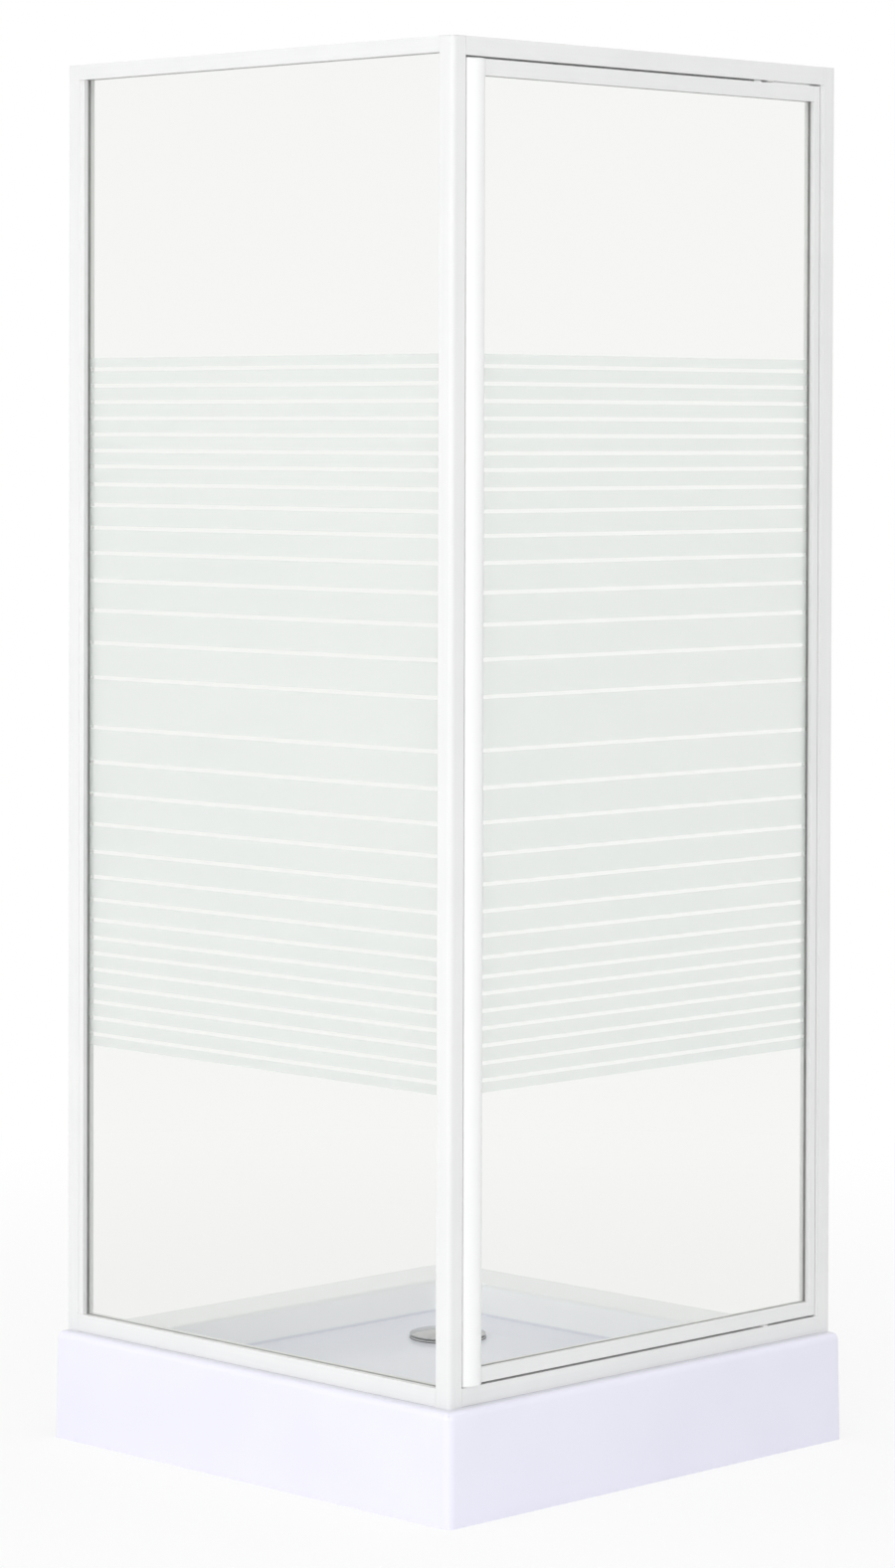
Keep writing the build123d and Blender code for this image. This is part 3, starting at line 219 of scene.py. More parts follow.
# Place, point aimed at, side in metres and watts of each lamp.
LAMPS = {
    "lamp_fixed_side": ((-3.6, 1.2, 0.4), (-0.4, 0.0, 0.5), 2.0, 26),
    "lamp_front": ((-4.8, -3.5, 1.6), (-0.35, -0.35, 0.8), 3.2, 78),
    "lamp_door_side": ((-0.9, -5.3, 0.6), (0, 0, 0.6), 2.8, 29),
    "lamp_overhead": ((-0.5, -0.5, 5.0), (0, 0, 0.8), 3.0, 74)}


def soft_lamp(name, place, aim, side, watts):
    """Large square white area lamp at a place, turned to face a point."""
    data = bpy.data.lights.new(name, "AREA")
    data.shape = "RECTANGLE"
    data.size = side
    data.size_y = side
    data.energy = watts
    lamp = bpy.data.objects.new(name, data)
    lamp.location = place
    lamp.rotation_mode = "QUATERNION"
    lamp.rotation_quaternion = (Vector(aim) - Vector(place)).to_track_quat("-Z", "Y")
    lamp.visible_camera = False
    lamp.visible_glossy = False
    lamp.visible_transmission = False
    bpy.context.scene.collection.objects.link(lamp)


for name, (place, aim, side, watts) in LAMPS.items():
    soft_lamp(name, place, aim, side, watts)

# Tray. Sheet acrylic drawn over a mould and backed with glass fibre: a glossy cold white with the faint
# waviness of a drawn sheet. It is bluish outside the frame. Inside the frame the one acrylic is painted with
# light and shade: painted light makes the slopes of the basin pale, painted shade makes the inner rim greyer
# and the floor of the basin darker. The basin is a little matter low down. A painted shadow greys the rim
# ledge just outside the foot of the frame.
TRAY_WHITE = (0.88, 0.875, 0.99)
TRAY_WHITE_DEEP = (0.855, 0.85, 0.97)
# Painted light and shade inside the frame, on the same acrylic: pale slopes, greyer inner rim, darker basin
# floor.
TRAY_SLOPE_PAINTED_LIGHT = (0.97, 0.975, 1.0)
TRAY_FLOOR_PAINTED_SHADE = (0.775, 0.785, 0.87)
TRAY_RIM_INSIDE_PAINTED_SHADE = (0.86, 0.868, 0.885)
# Painted shadow of the frame on the rim ledge, and the span outside the frame foot over which it fades.
FRAME_FOOT_PAINTED_SHADOW = (0.70, 0.70, 0.78)
FRAME_FOOT_PAINTED_SHADOW_REACH = (-0.396, -0.384)
FRAME_INSIDE = (-0.362, -0.350)
BASIN_REACH = (0.130, 0.112)
BASIN_FLOOR_REACH = (0.114, 0.111)
RIM_REACH = (0.148, 0.153)
BASIN_MATTER = 0.05
SPECK_HEIGHT = 0.02


def finish_nodes(material, names):
    """Gives carried-over nodes their material."""
    for name in names:
        slots = nodes[name].data.materials
        slots.clear()
        slots.append(material)


tray_material, tone = new_material("tray_acrylic")
point = object_point(tone)
height = axis_of(point, "Z")
cloud = noise(point, 5, 2)
in_basin = height.spans(*BASIN_REACH)
on_floor = height.spans(*BASIN_FLOOR_REACH)
nearest_side = tone.math("MINIMUM", axis_of(point, "X"), axis_of(point, "Y"))
inside_frame = nearest_side.spans(*FRAME_INSIDE)
outer_white = cloud.spans(0.3, 0.75).blend(TRAY_WHITE, TRAY_WHITE_DEEP)
on_rim = height.spans(*RIM_REACH)
# Painted shadow along the frame foot on the rim ledge.
frame_foot_painted_shadow = nearest_side.spans(*FRAME_FOOT_PAINTED_SHADOW_REACH) * on_rim
outside = tone.mixed(frame_foot_painted_shadow, outer_white, (*FRAME_FOOT_PAINTED_SHADOW, 1))
# Painted light on the basin slopes, painted shade on its floor and inner rim.
inside_painted_light_and_shade = tone.mixed(on_rim, on_floor.blend(TRAY_SLOPE_PAINTED_LIGHT, TRAY_FLOOR_PAINTED_SHADE), (*TRAY_RIM_INSIDE_PAINTED_SHADE, 1))
wave = noise(point, 22, 1)
speck = noise(point, 900, 1)
bump = tone.node("ShaderNodeBump", sockets={
    "Strength": 0.2, "Distance": 0.0002, "Height": wave + speck * SPECK_HEIGHT * in_basin})
shader = tone.node("ShaderNodeBsdfPrincipled", sockets={
    "Base Color": tone.mixed(inside_frame, outside, inside_painted_light_and_shade),
    "Roughness": noise(point, 14, 3).spans(0.3, 0.7, 0.29, 0.33) + in_basin * BASIN_MATTER,
    "Specular IOR Level": 0.5, "Coat Weight": 0.4, "Coat Roughness": 0.06, "Normal": bump})
surface(tone, shader)
finish_nodes(tray_material, ["tray_shell"])

# Board, tubes and feet under the tray. Moisture proof particle board bonded to the basin, zinc plated tubes
# with rolled corners, coarse threaded rods with chamfered nuts, and moulded rubber pads with ribs. They are
# only seen from behind and below.


def mottled(name, grain, colours, roughness, ends=(0.3, 0.7), rough_ends=(0.3, 0.7), bump=None,
            metallic=0.0, transmission=0.0):
    """Material that runs between two colours with a soft noise, and between two degrees of roughness where
    it is given two. grain holds the noise's settings; bump is strength, depth in mm and its own grain."""
    material, tone = new_material(name)
    point = object_point(tone)
    cloud = noise(point, **grain)
    sockets = {"Base Color": cloud.spans(*ends).blend(*colours), "Roughness": roughness,
               "Metallic": metallic, "Transmission Weight": transmission}
    if isinstance(roughness, tuple):
        sockets["Roughness"] = cloud.spans(*rough_ends, *roughness)
    if bump:
        strength, depth, bump_grain = bump
        sockets["Normal"] = tone.node("ShaderNodeBump", sockets={
            "Strength": strength, "Distance": depth * MM, "Height": noise(point, **bump_grain)})
    surface(tone, tone.node("ShaderNodeBsdfPrincipled", sockets=sockets))
    return material


BOARD_FLAKES = {"scale": 160, "detail": 4, "roughness": 0.7}
BOARD_COLOURS = ((0.36, 0.25, 0.15), (0.58, 0.44, 0.28))
board_material = mottled("board", BOARD_FLAKES, BOARD_COLOURS, 0.8, ends=(0.35, 0.65),
                         bump=(0.3, 0.5, BOARD_FLAKES))
ZINC_COLOURS = ((0.50, 0.51, 0.53), (0.66, 0.67, 0.68))
zinc_material = mottled("zinc_steel", {"scale": 90, "detail": 3}, ZINC_COLOURS, (0.30, 0.46), metallic=1.0)
RUBBER_COLOURS = ((0.016, 0.016, 0.017), (0.045, 0.044, 0.042))
rubber_material = mottled("dark_rubber", {"scale": 60, "detail": 3}, RUBBER_COLOURS, (0.55, 0.75),
                          ends=(0.3, 0.75), bump=(0.2, 0.3, {"scale": 800}))

body_of = {node: body for body, names in frame["record"]["behaviour"]["bodies"].items() for node in names}
SHARP_FROM = math.radians(50)
WELD_REACH = 0.02
FLAT_WITHIN = math.radians(0.5)
EDGE_FROM = math.radians(30)


def stand_for(node, mesh, material, even=True):
    """Piece that takes the place of a carried-over node: its body and its slot, with normals kept flat."""
    mesh.materials.clear()
    mesh.materials.append(material)
    piece = bpy.data.objects.new(node + "_finished", mesh)
    bpy.context.scene.collection.objects.link(piece)
    if even:
        level = piece.modifiers.new("flat_faces", "WEIGHTED_NORMAL")
        level.keep_sharp = True
    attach(piece, body_of[node])
    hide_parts(node)
    return piece


def eased(node, material, edge, steps=2):
    """Copy of a carried-over node with its triangles merged, flat faces joined and every edge rounded, by a
    radius in mm."""
    mesh = nodes[node].data.copy()
    mesh.name = node + "_finished"
    shape = bmesh.new()
    shape.from_mesh(mesh)
    bmesh.ops.remove_doubles(shape, verts=shape.verts, dist=WELD_REACH * MM)
    bmesh.ops.dissolve_limit(shape, angle_limit=FLAT_WITHIN, verts=shape.verts, edges=shape.edges)
    shape.to_mesh(mesh)
    shape.free()
    mesh.shade_smooth()
    mesh.set_sharp_from_angle(angle=EDGE_FROM)
    piece = stand_for(node, mesh, material, even=False)
    rounding = piece.modifiers.new("rounding", "BEVEL")
    rounding.width = edge * MM
    rounding.segments = steps
    rounding.limit_method = "ANGLE"
    rounding.angle_limit = EDGE_FROM
    rounding.harden_normals = True
    rounding.use_clamp_overlap = True


def joined(name, parts):
    """One mesh of several lots of points and faces, smooth over its rounded edges, sharp where it is cut."""
    mesh = bpy.data.meshes.new(name)
    points, faces = [], []
    for part_points, part_faces in parts:
        shift = sum(len(lot) for lot in points)
        faces += [[index + shift for index in face] for face in part_faces]
        points.append(part_points)
    mesh.from_pydata(np.concatenate(points).tolist(), [], faces)
    mesh.shade_smooth()
    mesh.set_sharp_from_angle(angle=SHARP_FROM)
    return mesh


def about_axis(radius, level, place, axis="Z", closed=False):
    """Points and faces of a turned surface: row i, column j lies at the angle 2 pi j / columns, radius[i, j]
    from the axis and level[i, j] along it. The two ends are filled unless the rows close on themselves."""
    rows, columns = radius.shape
    angle = 2 * np.pi * np.arange(columns) / columns
    level = np.broadcast_to(level, radius.shape)
    turned = np.stack([radius * np.cos(angle), radius * np.sin(angle), level], axis=2).reshape(-1, 3)
    turned = np.roll(turned, {"Z": 0, "X": 1, "Y": 2}[axis], axis=1)
    row = np.arange(rows if closed else rows - 1)[:, None] * columns
    column = np.arange(columns)[None]
    beside = (column + 1) % columns
    above = (row + columns) % (rows * columns)
    faces = np.stack([row + column, row + beside, above + beside, above + column], axis=2).reshape(-1, 4)
    faces = faces.tolist()
    if not closed:
        ring = np.arange(columns)
        faces += [ring[::-1].tolist(), (ring + (rows - 1) * columns).tolist()]
    return (turned + np.array(place, float)) * MM, faces


eased("tray_base_board", board_material, edge=0.5)
eased("foot_bars", zinc_material, edge=0.8)
eased("centre_foot_plate", zinc_material, edge=0.4)

FOOT_X = 235
FOOT_Y = 215
foot_places = [(x, y, 0) for x in (-FOOT_X, FOOT_X) for y in (-FOOT_Y, FOOT_Y)] + [(0, 0, 0)]

ROD_LOW = 4
ROD_HIGH = 85
ROD_CREST = 5.95
THREAD_PITCH = 1.75
THREAD_DEPTH = 0.85
ROWS_PER_TURN = 6
THREAD_COLUMNS = 20
level = np.arange(ROD_LOW, ROD_HIGH, THREAD_PITCH / ROWS_PER_TURN)[:, None]
turn = level / THREAD_PITCH - np.arange(THREAD_COLUMNS)[None] / THREAD_COLUMNS
thread = ROD_CREST - THREAD_DEPTH * np.abs(2 * (turn % 1) - 1)
rods = [about_axis(thread, level, place) for place in foot_places]
stand_for("foot_rods", joined("foot_rods_finished", rods), zinc_material)

# Radius, height and share of the ribs, from the sole up and down the bore.
PAD_PROFILE = [(21.4, 0, 0), (22.6, 0.5, 1), (22.7, 1.5, 1), (22.6, 6.2, 1), (22.0, 7.4, 0.5), (20.6, 8, 0),
               (12.6, 8, 0), (11.4, 8.5, 0), (11, 9.6, 0), (10.8, 15.2, 0), (10.2, 16, 0), (6.4, 16, 0),
               (6.1, 15.6, 0), (6.1, 4, 0)]
PAD_RIBS = 30
PAD_RIB_DEPTH = 0.3
PAD_COLUMNS = 120
pad_radius, pad_level, ribbed = (column[:, None] for column in np.array(PAD_PROFILE, float).T)
angle = 2 * np.pi * np.arange(PAD_COLUMNS)[None] / PAD_COLUMNS
pads = [about_axis(pad_radius + ribbed * PAD_RIB_DEPTH * np.cos(PAD_RIBS * angle), pad_level, place)
        for place in foot_places]
stand_for("foot_pads", joined("foot_pads_finished", pads), rubber_material)

NUT_FLATS = 18
NUT_LOW = 52
# Largest radius, cut down to the flats, and height.
NUT_PROFILE = [(6.15, 0), (8.5, 0), (20, 0.8), (20, 7.2), (8.5, 8), (6.15, 8)]
NUT_COLUMNS = 72
nut_limit, nut_level = (column[:, None] for column in np.array(NUT_PROFILE, float).T)
angle = 2 * np.pi * np.arange(NUT_COLUMNS)[None] / NUT_COLUMNS
sixth = np.pi / 3
flat = NUT_FLATS / 2 / np.cos(angle % sixth - sixth / 2)
nuts = [about_axis(np.minimum(nut_limit, flat), nut_level + NUT_LOW, place, closed=True)
        for place in foot_places]
stand_for("foot_lock_nuts", joined("foot_lock_nuts_finished", nuts), zinc_material)

# Waste. A polypropylene trap bowl under the tray, a pressed stainless ring screwed down on the basin floor,
# and a polished chromed cover that stands on its dip tube and lifts out for cleaning.
TRAP_COLOURS = ((0.74, 0.74, 0.72), (0.80, 0.80, 0.78))
trap_material = mottled("waste_plastic", {"scale": 40}, TRAP_COLOURS, 0.42, bump=(0.15, 0.3, {"scale": 500}))
STEEL_GRAIN = {"scale": 700, "stretch": (1, 0.08, 1)}
STEEL_COLOURS = ((0.56, 0.56, 0.56), (0.64, 0.64, 0.64))
stainless_material = mottled("stainless_steel", STEEL_GRAIN, STEEL_COLOURS, (0.28, 0.36), metallic=1.0)
CHROME_COLOURS = ((0.34, 0.34, 0.345), (0.42, 0.42, 0.425))
chrome_material = mottled("chromed_cover", {"scale": 120, "detail": 3}, CHROME_COLOURS, (0.08, 0.16),
                          rough_ends=(0.35, 0.7), metallic=1.0)
eased("waste_body", trap_material, edge=0.6)
eased("trap_cup", trap_material, edge=0.4)
eased("waste_flange", stainless_material, edge=0.5)
eased("waste_cover", chrome_material, edge=0.4, steps=3)
finish_nodes(rubber_material, ["waste_upper_seal", "waste_lower_seal"])

# Frame and leaf profiles. Aluminium extrusions 1.5 mm thick, cut square and butted, with a baked white
# lacquer: satin, a fine orange peel, faint streaks along the run, grey where it thins and dust on top faces.
LACQUER = (0.87, 0.875, 0.87)
LACQUER_THIN = (0.835, 0.842, 0.838)
LACQUER_DUST = (0.78, 0.78, 0.765)
STREAK_GRAIN = 240
STREAK_LONG = 0.015
STREAK_SHARE = 0.35
CLOUD_SHARE = 0.5
DUST_SHARE = 0.6
DUST_SLOPES = (0.85, 1.0)
LACQUER_ROUGHNESS = 0.29
CLOUD_MATTER = 0.05
DUST_MATTER = 0.3


def lacquered(name, along, white=LACQUER, thin_white=LACQUER_THIN):
    """Lacquer for profiles that run along one axis: its streaks are drawn out along that axis."""
    material, tone = new_material(name)
    point = object_point(tone)
    stretch = tuple(STREAK_LONG if letter == along else 1 for letter in "XYZ")
    streaks = noise(point, STREAK_GRAIN, 2, stretch=stretch).spans(0.35, 0.7)
    cloud = noise(point, 9, 2).spans(0.35, 0.7)
    thin = streaks * STREAK_SHARE + cloud * CLOUD_SHARE
    upward = axis_of(tone.node("ShaderNodeNewGeometry", output="Normal"), "Z").spans(*DUST_SLOPES)
    dust = upward * noise(point, 45, 4).spans(0.35, 0.75) * DUST_SHARE
    lacquer = thin.blend(white, thin_white)
    colour = tone.mixed(dust, lacquer, (*LACQUER_DUST, 1))
    peel = noise(point, 620, 2, 0.4)
    bump = tone.node("ShaderNodeBump", sockets={
        "Strength": 0.08, "Distance": 0.0001, "Height": peel + streaks * 0.3})
    surface(tone, tone.node("ShaderNodeBsdfPrincipled", sockets={
        "Base Color": colour,
        "Roughness": cloud * CLOUD_MATTER + dust * DUST_MATTER + LACQUER_ROUGHNESS,
        "Coat Weight": 0.3, "Coat Roughness": 0.12, "Normal": bump}))
    return material


lacquer_along = {letter: lacquered("white_lacquer_" + letter.lower(), letter) for letter in "XYZ"}
LARGEST_SHARE = 0.48
SAME_POINT = 1e-4
NO_AREA = 1e-9


def softened(corners, radius, steps=4):
    """Closed outline with rounded corners. Each is the curve (1-t)^2 before + 2t(1-t) corner + t^2 after,
    where before and after lie a radius away on its two sides. Corners may have a radius each."""
    corners = np.asarray(corners, float)
    reach = np.broadcast_to(np.asarray(radius, float), len(corners))[:, None]
    before = np.roll(corners, 1, axis=0) - corners
    after = np.roll(corners, -1, axis=0) - corners
    share_before = np.minimum(reach / np.linalg.norm(before, axis=1, keepdims=True), LARGEST_SHARE)
    share_after = np.minimum(reach / np.linalg.norm(after, axis=1, keepdims=True), LARGEST_SHARE)
    start = (corners + before * share_before)[:, None]
    end = (corners + after * share_after)[:, None]
    t = np.linspace(0, 1, steps + 1)[None, :, None]
    curve = (1 - t) ** 2 * start + 2 * t * (1 - t) * corners[:, None] + t ** 2 * end
    outline = curve.reshape(-1, 2)
    apart = np.linalg.norm(outline - np.roll(outline, 1, axis=0), axis=1) > SAME_POINT
    return outline[apart]


def wound(loop, leftwards):
    """The loop turning to the left or to the right, by the sign of its area."""
    a, b = loop[:, 0], loop[:, 1]
    area = np.sum(a * np.roll(b, -1) - np.roll(a, -1) * b)
    return loop if (area > 0) == leftwards else loop[::-1]


def carried(loops, start, across, run, length):
    """Points and faces of a profile: point = start + a across + b (run x across) + s run, for each point
    (a, b) of the outer loop and the chamber loops, s at both ends; the ends are filled between the loops."""
    loops = [wound(np.asarray(loop, float), index == 0) for index, loop in enumerate(loops)]
    across, run = np.array(across, float), np.array(run, float)
    flat = np.concatenate(loops)
    count = len(flat)
    foot = np.array(start, float) + flat[:, :1] * across + flat[:, 1:] * np.cross(run, across)
    points = np.concatenate([foot, foot + run * length]) * MM
    faces = []
    first = 0
    for loop in loops:
        here = first + np.arange(len(loop))
        there = np.roll(here, -1)
        faces += np.stack([here, there, there + count, here + count], axis=1).tolist()
        first += len(loop)
    filled = np.array(tessellate_polygon([[Vector((a, b, 0)) for a, b in loop] for loop in loops]))
    p, q, r = (flat[filled[:, k]] for k in range(3))
    turn = (q - p)[:, 0] * (r - p)[:, 1] - (q - p)[:, 1] * (r - p)[:, 0]
    filled = filled[np.abs(turn) > NO_AREA]
    turn = turn[np.abs(turn) > NO_AREA]
    filled = np.where((turn > 0)[:, None], filled, filled[:, ::-1])
    faces += filled[:, ::-1].tolist() + (filled + count).tolist()
    return points, faces


# Sizes in mm. The two near sides of the frame lie at negative x and y.
FACE = -378
INSIDE = -353
MIDDLE = -365.5
RIM = 154
TOP = 1984
SILL_TOP = 179
FIXED_HEAD_UNDER = 1962
DOOR_HEAD_UNDER = 1958
FIXED_MOUTH = 380
DOOR_MOUTH = 379
METAL = 1.5
CUT = 0.1
EDGE = 0.7
MOUTH_EDGE = 0.5
INNER_EDGE = 0.3
GROOVE = 8
GROOVE_DEPTH = 10


def box_loop(low_a, high_a, low_b, high_b, radius=EDGE):
    """Rounded rectangle."""
    return softened([(low_a, low_b), (high_a, low_b), (high_a, high_b), (low_a, high_b)], radius)


def glazing_loops(depth, height, groove_depth=GROOVE_DEPTH):
    """Profile with its back at b = 0 and a glass groove in its mouth, and the chamber round the groove."""
    half, slot, floor = depth / 2, GROOVE / 2, height - groove_depth
    outer = [(-half, 0), (half, 0), (half, height), (slot, height), (slot, floor), (-slot, floor),
             (-slot, height), (-half, height)]
    low, high = METAL - half, half - METAL
    wall = slot + METAL
    chamber = [(low, METAL), (high, METAL), (high, height - METAL), (wall, height - METAL),
               (wall, floor - METAL), (-wall, floor - METAL), (-wall, height - METAL), (low, height - METAL)]
    edges = [EDGE, EDGE, EDGE, MOUTH_EDGE, INNER_EDGE, INNER_EDGE, MOUTH_EDGE, EDGE]
    return [softened(outer, edges), softened(chamber, INNER_EDGE)]


# Corner post. A square section with a round outer corner, a groove for the fixed pane and, between sill and
# head, a thin lip behind the closed leaf.
POST_RADIUS = 8.5
POST_INNER_RADIUS = 6
POST_CAP = 1.5
STOP_LIP = 12
LIP_IN_POST = 1
slot_low, slot_high = MIDDLE - GROOVE / 2, MIDDLE + GROOVE / 2
groove_floor = INSIDE - GROOVE_DEPTH
post_outline = softened(
    [(FACE, FACE), (INSIDE, FACE), (INSIDE, INSIDE), (slot_high, INSIDE), (slot_high, groove_floor),
     (slot_low, groove_floor), (slot_low, INSIDE), (FACE, INSIDE)],
    [POST_RADIUS, EDGE, EDGE, MOUTH_EDGE, INNER_EDGE, INNER_EDGE, MOUTH_EDGE, EDGE], steps=10)
low, high = FACE + METAL, INSIDE - METAL
wall_low, wall_high, wall_floor = slot_low - METAL, slot_high + METAL, groove_floor - METAL
post_chamber = softened(
    [(low, low), (high, low), (high, high), (wall_high, high), (wall_high, wall_floor),
     (wall_low, wall_floor), (wall_low, high), (low, high)],
    [POST_INNER_RADIUS] + [INNER_EDGE] * 7)
lip = box_loop(INSIDE - LIP_IN_POST, INSIDE + STOP_LIP, INSIDE - METAL, INSIDE, MOUTH_EDGE)
UP = (0, 0, 1)
ALONG_X = (1, 0, 0)
ALONG_Y = (0, 1, 0)
stand_for("corner_post", joined("corner_post_finished", [
    carried([post_outline, post_chamber], (0, 0, RIM), ALONG_X, UP, TOP - POST_CAP - RIM - CUT),
    carried([lip], (0, 0, SILL_TOP), ALONG_X, UP, DOOR_HEAD_UNDER - SILL_TOP)]), lacquer_along["Z"])

# Rails and stile of the fixed side. The rails run from the post to the wall channel with a hairline at each
# end, and the adjusting stile slides in the wall channel.
IN_CHANNEL = 10
STILE_WIDTH = 19
rail_length = FIXED_MOUTH - INSIDE - 2 * CUT
for node, level, height, across in (("fixed_top_rail", TOP, TOP - FIXED_HEAD_UNDER, 1),
                                    ("fixed_bottom_rail", RIM, SILL_TOP - RIM, -1)):
    start = (MIDDLE, INSIDE + CUT, level)
    rail = carried(glazing_loops(INSIDE - FACE, height), start, (across, 0, 0), ALONG_Y, rail_length)
    stand_for(node, joined(node + "_finished", [rail]), lacquer_along["Y"])
stile_back = FIXED_MOUTH + IN_CHANNEL
stile = carried(glazing_loops(INSIDE - FACE - 2 * METAL, STILE_WIDTH), (MIDDLE, stile_back, SILL_TOP + CUT),
                (-1, 0, 0), UP, FIXED_HEAD_UNDER - SILL_TOP - 2 * CUT)
stand_for("fixed_wall_stile", joined("fixed_wall_stile_finished", [stile]), lacquer_along["Z"])

# Door frame. Hollow head and sill between the post and the wall channel, and a hollow jamb that slides in
# the channel beside the leaf.
for node, low_z, high_z in (("door_top_rail", DOOR_HEAD_UNDER, TOP), ("door_sill", RIM, SILL_TOP)):
    outer = box_loop(FACE, INSIDE, low_z, high_z)
    chamber = box_loop(FACE + METAL, INSIDE - METAL, low_z + METAL, high_z - METAL, INNER_EDGE)
    rail = carried([outer, chamber], (INSIDE + CUT, 0, 0), ALONG_Y, ALONG_X, DOOR_MOUTH - INSIDE - 2 * CUT)
    stand_for(node, joined(node + "_finished", [rail]), lacquer_along["X"])
JAMB_FACE = 374
jamb_back = DOOR_MOUTH + IN_CHANNEL
outer = box_loop(JAMB_FACE, jamb_back, FACE + METAL, INSIDE - METAL)
chamber = box_loop(JAMB_FACE + METAL, jamb_back - METAL, FACE + 2 * METAL, INSIDE - 2 * METAL, INNER_EDGE)
jamb = carried([outer, chamber], (0, 0, SILL_TOP + CUT), ALONG_X, UP, DOOR_HEAD_UNDER - SILL_TOP - 2 * CUT)
stand_for("door_jamb", joined("door_jamb_finished", [jamb]), lacquer_along["Z"])

# Door leaf. Two rails butted between a slim hinge stile and a broad handle stile, whose front is a shallow
# arc that stands proud of the frame so that fingers can pull it.
LEAF_MIDDLE = -368
LEAF_INSIDE = -358
LEAF_BOTTOM = 182
LEAF_TOP = 1955
HANDLE_EDGE = -351
HANDLE_MOUTH = -316
HINGE_MOUTH = 358
HINGE_EDGE = 371
rail_start = HANDLE_MOUTH + CUT
rail_length = HINGE_MOUTH - HANDLE_MOUTH - 2 * CUT
LEAF_DEPTH = 20
LEAF_TOP_RAIL = 22
LEAF_BOTTOM_RAIL = 20
HINGE_GROOVE = 8
for node, level, height, across in (("leaf_top_rail", LEAF_TOP, LEAF_TOP_RAIL, -1),
                                    ("leaf_bottom_rail", LEAF_BOTTOM, LEAF_BOTTOM_RAIL, 1)):
    start = (rail_start, LEAF_MIDDLE, level)
    rail = carried(glazing_loops(LEAF_DEPTH, height), start, (0, across, 0), ALONG_X, rail_length)
    stand_for(node, joined(node + "_finished", [rail]), lacquer_along["X"])
stile = carried(glazing_loops(LEAF_DEPTH, HINGE_EDGE - HINGE_MOUTH, HINGE_GROOVE),
                (HINGE_EDGE, LEAF_MIDDLE, LEAF_BOTTOM), ALONG_Y, UP, LEAF_TOP - LEAF_BOTTOM)
stand_for("leaf_hinge_stile", joined("leaf_hinge_stile_finished", [stile]), lacquer_along["Z"])

HANDLE_PROUD = 6.5
HANDLE_CAP = 1.5
MAGNET = (-350, -342)
MAGNET_DEPTH = 2
MAGNET_EDGE = 0.2
FRONT_EDGE = 1.5
CHAMBER_ARC_POINTS = 41
HANDLE_FOOT = 180


def handle_arc(low_a, high_a, level, rise, count=25):
    """Points of the arc through both ends and the crown: its radius is (c^2 + h^2) / 2h for the half chord
    c and the rise h."""
    half = (high_a - low_a) / 2
    radius = (half ** 2 + rise ** 2) / (2 * rise)
    swing = math.asin(half / radius)
    angle = np.linspace(-swing, swing, count)
    a = (low_a + high_a) / 2 + radius * np.sin(angle)
    b = level - rise + radius - radius * np.cos(angle)
    return np.stack([a, b], axis=1)


front = handle_arc(HANDLE_EDGE, HANDLE_MOUTH, FACE, HANDLE_PROUD)
slot_low, slot_high = LEAF_MIDDLE - GROOVE / 2, LEAF_MIDDLE + GROOVE / 2
groove_floor = HANDLE_MOUTH - GROOVE_DEPTH
back_side = [(HANDLE_MOUTH, slot_low), (groove_floor, slot_low), (groove_floor, slot_high),
             (HANDLE_MOUTH, slot_high), (HANDLE_MOUTH, LEAF_INSIDE),
             (MAGNET[1], LEAF_INSIDE), (MAGNET[1], LEAF_INSIDE - MAGNET_DEPTH),
             (MAGNET[0], LEAF_INSIDE - MAGNET_DEPTH), (MAGNET[0], LEAF_INSIDE), (HANDLE_EDGE, LEAF_INSIDE)]
back_edges = [MOUTH_EDGE, INNER_EDGE, INNER_EDGE, MOUTH_EDGE, EDGE] + [MAGNET_EDGE] * 4 + [EDGE]
front_edges = [FRONT_EDGE] + [0] * (len(front) - 2) + [FRONT_EDGE]
handle_outline = softened(np.concatenate([front, back_side]), np.array(front_edges + back_edges))
low_a, high_a = HANDLE_EDGE + METAL, groove_floor - METAL
inner_front = handle_arc(low_a, HANDLE_MOUTH - METAL, FACE + METAL, HANDLE_PROUD, CHAMBER_ARC_POINTS)
inner_front = inner_front[inner_front[:, 0] < high_a]
back = LEAF_INSIDE - MAGNET_DEPTH - METAL
handle_chamber = np.concatenate([inner_front, [(high_a, inner_front[-1, 1]), (high_a, back), (low_a, back)]])
handle = carried([handle_outline, handle_chamber], (0, 0, HANDLE_FOOT + HANDLE_CAP), ALONG_X, UP,
                 LEAF_TOP - HANDLE_FOOT - 2 * HANDLE_CAP)
# Brighter copy of the frame's white lacquer for the handle stile: painted light on its proud front.
HANDLE_PAINTED_LIGHT_WHITE = (0.975, 0.98, 0.975)
HANDLE_PAINTED_LIGHT_THIN = (0.96, 0.965, 0.96)
handle_painted_light_lacquer = lacquered("white_lacquer_handle_painted_light", "Z", HANDLE_PAINTED_LIGHT_WHITE, HANDLE_PAINTED_LIGHT_THIN)
stand_for("leaf_handle_stile", joined("leaf_handle_stile_finished", [handle]), handle_painted_light_lacquer)

# Wall channels and moulded caps. The channels are drilled for the wall screws, so they keep their own shape
# and only have their edges eased; the caps are pressed into the profile ends.
MOULDING_COLOURS = ((0.86, 0.865, 0.86), (0.82, 0.825, 0.815))
moulding_material = mottled("white_moulding", {"scale": 35}, MOULDING_COLOURS, (0.30, 0.40),
                            bump=(0.08, 0.1, {"scale": 900}))
eased("fixed_wall_profile", lacquer_along["Z"], edge=0.5)
eased("door_wall_profile", lacquer_along["Z"], edge=0.5)
for node in ("corner_post_cap", "wall_profile_caps", "handle_stile_caps"):
    eased(node, moulding_material, edge=0.4)

